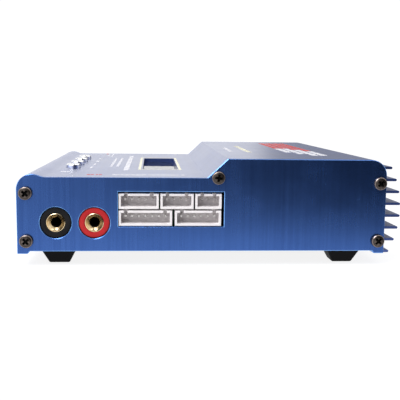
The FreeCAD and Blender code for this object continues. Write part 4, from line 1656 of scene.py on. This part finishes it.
@dataclass
class PinHeaders:
    """Balance headers in the output plate and the sensor header behind the input plate."""

    pitch: float = 2.5
    pin: float = 0.64
    end: float = 2.45
    wall: float = 0.85
    floor: float = 1.2
    key: Triple = (1.3, 2.0, 4.0)
    lift: float = 0.6
    setback: float = 2.0
    tail: float = 4.0
    point: float = 0.45
    seam: float = 0.001
    back_rim: float = 0.16
    edge: float = 0.11
    counts: tuple[int, ...] = (7, 6, 5, 4, 3)

    def shroud(self, name: str, shape: Limits, side: int) -> bpy.types.Object:
        """An open-mouthed shroud with two key slots in its top wall.

        Args:
            name: Its name.
            shape: Its box.
            side: +1 if its mouth faces +x, -1 if it faces -x.

        Returns:
            The shroud.
        """
        body = Bench.block(name, shape.low, shape.high)
        depth = shape.size.x - self.floor
        Bench.recess(body, facing((side, 0, 0)), self.wall, (-side * depth, 0, 0))
        width, inset, reach = self.key
        mouth = shape.high.x if side > 0 else shape.low.x
        inner = mouth - side * reach
        for start in (shape.low.y + inset, shape.high.y - inset - width):
            slot = Bench.block(
                "key",
                (min(inner, mouth + side), start, shape.high.z - self.wall - 0.3),
                (max(inner, mouth + side), start + width, shape.high.z + 1.0),
            )
            Bench.cut(body, slot)
        return Bench.soften(body, self.edge)

    def pins(self, shape: Limits, count: int, side: int) -> list[bpy.types.Object]:
        """The square pins of one header, with tapered tips.

        Args:
            shape: The header's box.
            count: Number of pins.
            side: +1 or -1, the way that the mouth faces.

        Returns:
            The pins.
        """
        mouth, back = (shape.high.x, shape.low.x) if side > 0 else (shape.low.x, shape.high.x)
        tip, end = mouth - side * self.setback, back - side * self.tail
        half = self.pin / 2
        middle = shape.middle.z + self.lift
        pattern = Bench.block("pin", (min(tip, end), -half, -half), (max(tip, end), half, half))
        Bench.recess(pattern, facing((side, 0, 0)), 0.0, (self.seam * side, 0, 0))
        Bench.taper(pattern, facing((side, 0, 0)), (1.0, self.point, self.point), (tip, 0, 0))
        push = (-side * self.seam, 0, 0)
        Bench.recess(pattern, facing((-side, 0, 0)), self.back_rim, push)
        made = []
        for index in range(count):
            y = shape.low.y + self.end + index * self.pitch
            made.append(Bench.copy(pattern, f"pin_{index}", (0.0, y, middle)))
        Bench.discard(pattern)
        return made

    def build(self) -> None:
        """Makes six shrouds and the pins of each."""
        jobs = [(f"balance_header_{count}pin", count, 1, "header_white") for count in self.counts]
        jobs.append(("sensor_header", 3, -1, "switch_black"))
        for node, count, side, slot in jobs:
            shape = Limits.of_node(node)
            shroud = self.shroud(f"{node}_shroud", shape, side)
            Bench.fit(shroud, slot, stands_for=[node])
            pins = Bench.join(f"{node}_pins", self.pins(shape, count, side))
            Bench.fit(pins, "pin_tin", stands_for=["header_pins"])


@dataclass
class MainsInlet:
    """Three-lobe mains inlet with a raised rim and three round pins."""

    flange: float = 1.2
    rim: float = 1.1
    dish: float = 0.5
    step: float = 1.0
    corner: float = 1.5
    edge: float = 0.18
    well_edge: float = 0.10
    lobe: float = 4.3
    depth: float = 14.0
    lobes: tuple[Pair, ...] = ((0.0, 2.35), (4.8, -2.55), (-4.8, -2.55))
    pin: float = 1.2
    pin_edge: float = 0.15
    tip: float = 0.7
    tip_turns: tuple[float, ...] = (0.35, 0.7, 1.0, 1.25)
    setback: float = 2.5

    def build(self) -> None:
        """Makes the flanged body, its lobed well and the pins."""
        shape = Limits.of_node("ac_inlet_body")
        metal = Limits.of_node("ac_inlet_pins")
        face, middle = shape.low.x, shape.middle
        seat = face + self.flange
        body = Bench.block("mains_inlet", (face, shape.low.y, shape.low.z), (seat, *shape.high.yz))
        Bench.round_edges(body, along_edge(Axis.X), self.corner, 5)
        Bench.recess(body, facing((1, 0, 0)), self.step, (shape.high.x - seat, 0, 0))
        Bench.recess(body, facing((-1, 0, 0)), self.rim, (self.dish, 0, 0))
        Bench.soften(body, self.edge, 3, 40.0)
        centres = [(0.0, middle.y + y, middle.z + z) for y, z in self.lobes]
        reach = [(face - 2.0, self.lobe), (face + self.depth, self.lobe)]
        for centre in centres:
            Bench.cut(body, Bench.turned("lobe", Axis.X, reach, centre, 56))
        Bench.soften(body, self.well_edge, 2, 60.0)
        Bench.fit(body, "inlet_black", stands_for=["ac_inlet_body"], smooth=40.0)
        round_start, end = metal.low.x + self.tip, metal.high.x
        stations = [
            (end, self.pin - self.pin_edge),
            (end - self.pin_edge, self.pin),
            (round_start, self.pin),
            *dome(round_start, self.tip, self.pin, self.tip_turns),
        ]
        for index, centre in enumerate(centres, 1):
            pin = Bench.turned(f"mains_pin_{index}", Axis.X, stations, centre, 32)
            Bench.fit(pin, "inlet_nickel", stands_for=["ac_inlet_pins"], smooth=50.0)


@dataclass
class DcJack:
    """Barrel input jack: a moulded block with a bored mouth, a liner and a centre pin."""

    bore: float = 3.3
    bore_depth: float = 10.0
    mouth: float = 0.35
    front_height: float = 13.4
    front_length: float = 2.1
    corner: float = 0.5
    edge: float = 0.12
    ring: float = 3.1
    ring_start: float = 2.0
    pin: float = 1.15
    tip: float = 0.5
    tip_turns: tuple[float, ...] = (0.4, 0.8, 1.15)
    dimple: tuple[Pair, ...] = ((0.06, 0.36), (0.5, 0.34))

    def build(self) -> None:
        """Makes the block, the spring liner and the centre pin."""
        shape = Limits.of_node("dc_jack_body")
        metal = Limits.of_node("dc_jack_pin")
        centre = (0.0, metal.middle.y, metal.middle.z)
        face = shape.low.x
        body = Bench.block("dc_jack", shape.low, shape.high)
        step_low = (face - 1.0, shape.low.y - 1.0, shape.low.z - 1.0)
        step_high = (face + self.front_length, shape.high.y + 1.0, self.front_height)
        Bench.cut(body, Bench.block("step", step_low, step_high))
        Bench.round_edges(body, along_edge(Axis.X), self.corner, 3)
        mouth = [
            (face - 1.0, self.bore + self.mouth),
            (face + 0.1, self.bore + self.mouth),
            (face + 0.1 + self.mouth, self.bore),
            (face + self.bore_depth, self.bore),
        ]
        Bench.cut(body, Bench.turned("mouth", Axis.X, mouth, centre, 56))
        Bench.soften(body, self.edge, 2, 50.0)
        Bench.fit(body, "inlet_black", stands_for=["dc_jack_body"], smooth=40.0)
        start, end = face + self.ring_start, face + self.bore_depth - 0.2
        liner = [
            (end, self.bore),
            (start + 0.2, self.bore),
            (start, self.bore - 0.05),
            (start, self.ring),
            (end, self.ring),
        ]
        ring = Bench.turned("dc_jack_liner", Axis.X, liner, centre, 56)
        Bench.uncap(ring)
        Bench.fit(ring, "inlet_nickel", stands_for=["dc_jack_body"])
        round_start = metal.low.x + self.tip
        stations = [
            (metal.high.x, self.pin),
            (round_start, self.pin),
            *dome(round_start, self.tip, self.pin, self.tip_turns),
            *((metal.low.x + depth, radius) for depth, radius in self.dimple),
        ]
        pin = Bench.turned("dc_jack_centre_pin", Axis.X, stations, centre, 32)
        Bench.fit(pin, "inlet_nickel", stands_for=["dc_jack_pin"], smooth=50.0)


@dataclass
class DisplayStack:
    """Clear window with eased edges and the black bezel under it."""

    rim: float = 0.8
    opening: Pair = (65.0, 15.6)
    window_corner: float = 1.2
    bezel_corner: float = 0.8
    window_edge: float = 0.12
    bezel_edge: float = 0.2

    def build(self) -> None:
        """Makes the window and a bezel with a stepped opening."""
        shape = Limits.of_node("display_window")
        window = Bench.block("clear_window_sheet", shape.low, shape.high)
        Bench.round_edges(window, along_edge(Axis.Z), self.window_corner, 4)
        Bench.soften(window, self.window_edge)
        Bench.fit(window, "clear_window", stands_for=["display_window"])
        shape = Limits.of_node("display_bezel")
        bezel = Bench.block("display_surround", shape.low, shape.high)
        Bench.round_edges(bezel, along_edge(Axis.Z), self.bezel_corner, 3)
        Bench.recess(bezel, facing((0, 0, -1)), self.rim, (0, 0, shape.size.z - self.rim))
        middle = shape.middle
        half_x, half_y = self.opening[0] / 2, self.opening[1] / 2
        hole = Bench.block(
            "opening",
            (middle.x - half_x, middle.y - half_y, shape.low.z + 1),
            (middle.x + half_x, middle.y + half_y, shape.high.z + 1),
        )
        Bench.cut(bezel, hole)
        Bench.soften(bezel, self.bezel_edge, 2, 40.0)
        Bench.fit(bezel, "display_black", stands_for=["display_bezel"])


class Face(Enum):
    """Kinds of face that carry print, by the axis that they face."""

    PANEL = Axis.Z
    PLATE = Axis.X


class Ink(Enum):
    """Printing inks, by the last word of their material slots."""

    WHITE = "white"
    CREAM = "cream"
    YELLOW = "yellow"
    RED = "red"


@dataclass(frozen=True)
class Row:
    """A line of short blank marks, standing in for small print.

    It runs from start to end along the face's first coordinate, or along its second if it is
    upright, and its middle is the other coordinate.
    """

    ink: Ink
    start: float
    end: float
    middle: float
    height: float
    upright: bool = False
    mark: Pair = (0.5, 1.5)
    gap: Pair = (0.25, 0.4)


@dataclass
class InkStencil:
    """Collects marks of one ink on one face, then makes them one thin film.

    The face's two coordinates are x and y on a panel, y and z on a plate, from the origin.
    """

    name: str
    slot: str
    face: Face
    level: float
    origin: Pair
    film: float = 0.05
    root: float = 0.02
    mitre: float = 0.02
    word_end: float = 0.18
    word_gap: float = 2.6
    marks: list[bpy.types.Object] = field(default_factory=list)

    def point(self, a: float, b: float, out: float) -> Vector:
        """A place on the face.

        Args:
            a: First coordinate.
            b: Second coordinate.
            out: Distance out from the face.

        Returns:
            The place in the frame.
        """
        a, b = a + self.origin[0], b + self.origin[1]
        if self.face is Face.PANEL:
            return Vector((a, b, self.level + out))
        return Vector((self.level - out, a, b))

    def bar(self, a0: float, a1: float, b0: float, b1: float, corner: float = 0.12) -> None:
        """A rounded bar between two corners of the face.

        Args:
            a0: First coordinate's start.
            a1: First coordinate's end.
            b0: Second coordinate's start.
            b1: Second coordinate's end.
            corner: Corner radius.
        """
        ends = self.point(a0, b0, -self.root), self.point(a1, b1, self.film)
        low = [min(pair) for pair in zip(*ends)]
        high = [max(pair) for pair in zip(*ends)]
        piece = Bench.block("bar", low, high)
        corner = min(corner, 0.45 * abs(a1 - a0), 0.45 * abs(b1 - b0))
        Bench.round_edges(piece, along_edge(self.face.value), corner, 2)
        self.marks.append(piece)

    def outline(self, a0: float, a1: float, b0: float, b1: float, line: float) -> None:
        """A rectangular frame, made of four bars that meet at its corners.

        Args:
            a0: First coordinate's start.
            a1: First coordinate's end.
            b0: Second coordinate's start.
            b1: Second coordinate's end.
            line: Width of the bars.
        """
        for b in (b0, b1 - line):
            self.bar(a0, a1, b, b + line, self.mitre)
        for a in (a0, a1 - line):
            self.bar(a, a + line, b0 + line, b1 - line, self.mitre)

    def disc(self, a: float, b: float, radius: float, hole: float = 0.0) -> None:
        """A round spot, or a ring if it has a hole.

        Args:
            a: Centre's first coordinate.
            b: Centre's second coordinate.
            radius: Outer radius.
            hole: Inner radius.
        """
        sign = 1.0 if self.face is Face.PANEL else -1.0
        base, top = -self.root * sign, self.film * sign
        stations = [(base, radius), (top, radius)]
        if hole:
            stations = [(base, hole), *stations, (top, hole), (base, hole)]
        spot = Bench.turned("spot", self.face.value, stations, self.point(a, b, 0.0), 32)
        if hole:
            Bench.uncap(spot)
        self.marks.append(spot)

    def dashes(self, row: Row, draw: random.Random) -> None:
        """A row of short blank marks with a wider gap now and then.

        Args:
            row: The row.
            draw: Seeded source of lengths.
        """
        step = 1.0 if row.end > row.start else -1.0
        low, high = row.middle - row.height / 2, row.middle + row.height / 2
        at = row.start
        while (row.end - at) * step > row.mark[0]:
            length = min(draw.uniform(*row.mark), abs(row.end - at))
            near, far = sorted((at, at + step * length))
            self.bar(*((low, high, near, far) if row.upright else (near, far, low, high)))
            wide = self.word_gap if draw.random() < self.word_end else 1.0
            at += step * (length + wide * draw.uniform(*row.gap))

    def build(self) -> None:
        """Joins the marks into one film and fits it."""
        for piece in self.marks:
            Bench.outward(piece)
        film = Bench.join(self.name, self.marks)
        Bench.to_metres(film)
        Bench.fit(film, self.slot, in_metres=True)


@dataclass
class PanelPrint:
    """Generic printed marks on both panels and on the input plate.

    Places across the case are measured from its low side, and places up the plate from the
    case's bottom.
    """

    low_top: float = 33.4
    high_top: float = 40.6
    plate: float = -67.5
    side: float = 72.4
    base: float = 5.8
    seed: int = 5
    display_frame: tuple[float, ...] = (-35.5, 34.0, 43.9, 62.0, 1.1)
    buttons: tuple[float, ...] = (-25.5, -8.5, 8.5, 25.5)
    # half length, middle and height of the marks at each button
    button_marks: tuple[Triple, ...] = ((3.6, 23.8, 1.1), (2.4, 8.6, 0.9))
    low_rows: tuple[Row, ...] = (
        Row(Ink.WHITE, 20.0, -28.0, 31.8, 1.2),
        Row(Ink.WHITE, 20.0, -32.0, 34.6, 1.2),
        Row(Ink.WHITE, 37.0, -47.0, 38.9, 2.1, mark=(0.9, 2.2)),
        Row(Ink.WHITE, 34.5, 63.0, 57.0, 2.6, True, (1.0, 2.2)),
        Row(Ink.WHITE, 13.5, 18.5, 45.0, 2.4, True, (1.0, 2.0)),
        Row(Ink.RED, 24.8, 30.5, 56.5, 2.0, True, (0.8, 1.8)),
        Row(Ink.CREAM, 62.0, 66.0, -60.0, 1.2, True),
        Row(Ink.WHITE, 62.0, 43.0, -60.0, 1.2, True),
        Row(Ink.WHITE, -43.0, -61.0, 28.6, 0.9),
        Row(Ink.WHITE, -43.0, -61.0, 26.6, 0.9),
        Row(Ink.RED, -61.0, -65.0, 25.0, 1.2),
    )
    high_rows: tuple[Row, ...] = (
        Row(Ink.CREAM, 28.0, -22.0, 91.5, 2.2, mark=(1.2, 2.8), gap=(0.5, 0.8)),
        Row(Ink.WHITE, 23.0, -8.0, 84.0, 1.5),
    )
    stripe_columns: int = 10
    stripe_rows: tuple[float, ...] = (107.6, 111.2, 114.8, 118.4)
    stripe_start: float = 45.0
    stripe_pitch: float = 9.8
    stripe: Pair = (8.2, 2.8)
    stripe_corner: float = 0.7
    slant: float = 9.0
    block_ends: Pair = (-27.0, 30.0)
    white_end: float = -3.5
    red_end: float = 20.0
    notice: tuple[float, ...] = (105.8, 134.3, 8.5, 21.45, 0.4)
    notice_ring: Pair = (129.3, 14.6)
    plate_rows: tuple[Row, ...] = (
        Row(Ink.YELLOW, 125.4, 113.3, 18.9, 1.9, mark=(1.0, 1.6)),
        Row(Ink.WHITE, 125.4, 115.0, 15.4, 1.35, mark=(0.7, 1.1)),
        Row(Ink.WHITE, 125.4, 106.9, 13.0, 1.35, mark=(0.7, 1.1)),
        Row(Ink.WHITE, 125.4, 109.5, 10.6, 1.35, mark=(0.7, 1.1)),
        Row(Ink.WHITE, 106.2, 69.2, 4.8, 1.5, mark=(0.8, 1.3)),
    )
    minus: float = 75.4
    centre_dot: float = 71.4
    plus: float = 67.4
    polarity_level: float = 22.45
    line: float = 0.12
    thermometer: Pair = (23.7, 8.95)

    def stencils(self, sheet: str, face: Face, level: float, *inks: Ink) -> dict[Ink, InkStencil]:
        """Empty stencils for one printed face.

        Args:
            sheet: Name of the printed face.
            face: Its kind.
            level: Its place along its axis.
            inks: Its inks.

        Returns:
            The stencils by ink.
        """
        origin = (0.0, -self.side) if face is Face.PANEL else (-self.side, self.base)
        words = {ink: ink.value for ink in inks}
        return {
            ink: InkStencil(f"{sheet}_{word}", f"print_{word}", face, level, origin)
            for ink, word in words.items()
        }

    def low_panel(self, draw: random.Random) -> dict[Ink, InkStencil]:
        """Marks the display outline, button marks and rows of small print.

        Args:
            draw: Seeded source of lengths.

        Returns:
            The marked stencils by ink.
        """
        panel_inks = (Ink.WHITE, Ink.CREAM, Ink.RED)
        inks = self.stencils("low_panel", Face.PANEL, self.low_top, *panel_inks)
        inks[Ink.CREAM].outline(*self.display_frame)
        for x in self.buttons:
            for half, middle, height in self.button_marks:
                inks[Ink.WHITE].dashes(Row(Ink.WHITE, x - half, x + half, middle, height), draw)
        for row in self.low_rows:
            inks[row.ink].dashes(row, draw)
        return inks

    def high_panel(self, draw: random.Random) -> dict[Ink, InkStencil]:
        """Marks rows of small print and a slanted block of plain stripes, white before red.

        Args:
            draw: Seeded source of lengths.

        Returns:
            The marked stencils by ink.
        """
        panel_inks = (Ink.WHITE, Ink.CREAM, Ink.RED)
        inks = self.stencils("high_panel", Face.PANEL, self.high_top, *panel_inks)
        for row in self.high_rows:
            inks[row.ink].dashes(row, draw)
        length, height = self.stripe
        for column in range(self.stripe_columns):
            start = self.stripe_start - self.stripe_pitch * column
            for row, base in enumerate(self.stripe_rows):
                place = start - self.slant * row
                ink = Ink.WHITE if place > self.white_end else Ink.RED
                inside = self.block_ends[0] < place < self.block_ends[1]
                if inside or ink is Ink.RED and start < self.red_end:
                    inks[ink].bar(start - length, start, base, base + height, self.stripe_corner)
        return inks

    def input_plate(self, draw: random.Random) -> dict[Ink, InkStencil]:
        """Marks a framed plain notice, a rating line, polarity rings and a thermometer.

        Args:
            draw: Seeded source of lengths.

        Returns:
            The marked stencils by ink.
        """
        plate_inks = (Ink.YELLOW, Ink.WHITE, Ink.RED)
        inks = self.stencils("plate", Face.PLATE, self.plate, *plate_inks)
        yellow, white, red = inks.values()
        yellow.outline(*self.notice)
        yellow.disc(*self.notice_ring, 3.2, 2.3)
        yellow.disc(*self.notice_ring, 1.0)
        yellow.bar(107.5, 125.4, 17.0, 17.25)
        for row in self.plate_rows:
            inks[row.ink].dashes(row, draw)
        level = self.polarity_level
        signs = [(place - 0.45, place + 0.45) for place in (self.minus, self.plus)]
        leads = [(self.centre_dot + 1.2, self.minus - 1.2), (self.plus + 1.2, self.centre_dot - 1.2)]
        for start, end in signs + leads:
            white.bar(start, end, level - self.line, level + self.line)
        white.bar(self.plus - self.line, self.plus + self.line, level - 0.45, level + 0.45)
        for place, hole in ((self.minus, 0.85), (self.plus, 0.85), (self.centre_dot, 0.8)):
            white.disc(place, level, 1.15, hole)
        white.disc(self.centre_dot, level, 0.4)
        across, bulb = self.thermometer
        white.outline(across - 1.05, across + 1.05, bulb + 1.05, bulb + 7.15, 0.3)
        white.disc(across, bulb, 1.85, 1.5)
        red.disc(across, bulb, 1.3)
        red.bar(across - 0.45, across + 0.45, bulb + 0.65, bulb + 5.65)
        white.disc(across - 2.4, bulb + 6.35, 0.55, 0.3)
        return inks

    def build(self) -> None:
        """Prints all three faces from one seeded draw."""
        draw = random.Random(self.seed)
        for marked in (self.low_panel, self.high_panel, self.input_plate):
            for stencil in marked(draw).values():
                stencil.build()


@dataclass
class FrameDressing:
    """Gives every remaining CAD node the finish of its record slot."""

    def build(self) -> None:
        """Assigns finishes by slot."""
        for part in frame["record"]["subparts"]:
            node = frame["nodes"].get(part["node"])
            if node is None or node.hide_render:
                continue
            finish = FINISHES[part["material_slot"]].material()
            for index in range(len(node.material_slots)):
                node.material_slots[index].material = finish
            if not node.material_slots:
                node.data.materials.append(finish)
            log.info("%s dressed as %s", node.name, finish.name)


@dataclass
class Stage:
    """Pale floor, soft lights, sky and camera."""

    eye: Triple = (0.3164, -0.0229, 0.0586)
    target: Triple = (0.0675, -0.0049, 0.0252)
    roll: float = 0.013
    lens: float = 60.8
    sensor: float = 36.0
    floor_size: float = 1.6
    dark_way: Pair = (0.80, 0.60)
    dark_band: Pair = (0.93, 0.52)
    bright: float = 1.35
    behind_shade: float = 0.55
    beside_shade: float = 0.72
    overhead_shade: float = 0.5
    backdrop: float = 1.05
    # name, place, width and power in watts
    lamps: tuple[tuple[str, Triple, float, float], ...] = (
        ("key_light", (0.34, -0.30, 0.62), 0.5, 6.5),
        ("fill_light", (-0.10, 0.35, 0.75), 0.6, 1.6),
    )

    def floor(self) -> None:
        """A large flat pale sheet under the feet."""
        Bench.clear()
        bpy.ops.mesh.primitive_grid_add(x_subdivisions=8, y_subdivisions=8, size=self.floor_size)
        floor = Bench.named("studio_floor")
        floor.data.materials.append(Studio("studio_floor").material())

    def lamp(self, name: str, place: Triple, width: float, power: float) -> None:
        """A square soft light aimed at the object.

        Args:
            name: Its name.
            place: Its place in metres.
            width: Its width in metres.
            power: Its power in watts.
        """
        data = bpy.data.lights.new(name, "AREA")
        data.shape = "RECTANGLE"
        data.size = data.size_y = width
        data.energy = power
        lamp = Bench.add(name, data)
        lamp.location = place
        aim = Vector((0.0, 0.0, 0.02)) - Vector(place)
        lamp.rotation_euler = aim.to_track_quat("-Z", "Y").to_euler()

    def sky(self) -> None:
        """A world that is bright to the camera and graded where it lights the object.

        It is dark in front of the output end towards the finned side, and below the horizon
        behind the input end, so both end plates shade from side to side and from top to bottom.
        """
        sheet = SkySheet("studio_sky")
        across, along, up = (sheet.axis(axis) for axis in Axis)
        toward = across * self.dark_way[0] + along * self.dark_way[1]
        soft = toward.ease(*self.dark_band, 0.0, self.bright)
        behind = across.ease(0.1, -0.5) * up.ease(0.02, -0.12)
        beside = (along * 0.987 + across * 0.158).ease(-0.02, 0.03) * across.ease(-0.3, -0.5)
        soft = soft * (1.0 - beside * up.ease(0.6, 0.3) * self.beside_shade)
        soft = soft * (1.0 - up.ease(0.45, 0.9) * self.overhead_shade)
        graded = sheet.node(
            "ShaderNodeBackground", {}, {"Strength": soft * (1.0 - behind * self.behind_shade)}
        )
        seen = sheet.node(
            "ShaderNodeBackground", {}, {"Color": (1.0, 1.0, 1.0), "Strength": self.backdrop}
        )
        direct = sheet.node("ShaderNodeLightPath", {}, {}, "Is Camera Ray")
        mixed = sheet.node("ShaderNodeMixShader", {}, {0: direct, 1: graded, 2: seen})
        sheet.node("ShaderNodeOutputWorld", {}, {"Surface": mixed})

    def camera(self) -> None:
        """The camera, low in front of the output end."""
        data = bpy.data.cameras.new("camera")
        data.lens, data.sensor_width = self.lens, self.sensor
        camera = Bench.add("camera", data)
        camera.location = self.eye
        aim = Vector(self.target) - Vector(self.eye)
        level = aim.to_track_quat("-Z", "Y").to_matrix()
        camera.rotation_euler = (level @ Matrix.Rotation(self.roll, 3, "Z")).to_euler()
        data.clip_start, data.clip_end = 0.01, 20.0
        bpy.context.scene.camera = camera

    def build(self) -> None:
        """Sets up the studio."""
        self.floor()
        self.sky()
        for lamp in self.lamps:
            self.lamp(*lamp)
        self.camera()
        bpy.context.scene.view_settings.view_transform = "Standard"
        log.info("studio set")


def main() -> None:
    """Builds every sub-assembly in order and reports each piece."""
    logging.basicConfig(level=logging.INFO, format="%(name)s: %(message)s")
    for assembly in (
        CaseShell(),
        EndScrews(),
        Feet(),
        Buttons(),
        OutputSockets(),
        PinHeaders(),
        MainsInlet(),
        DcJack(),
        DisplayStack(),
        PanelPrint(),
        FrameDressing(),
        Stage(),
    ):
        log.info("building %s", type(assembly).__name__)
        assembly.build()


if __name__ == "__main__":
    main()
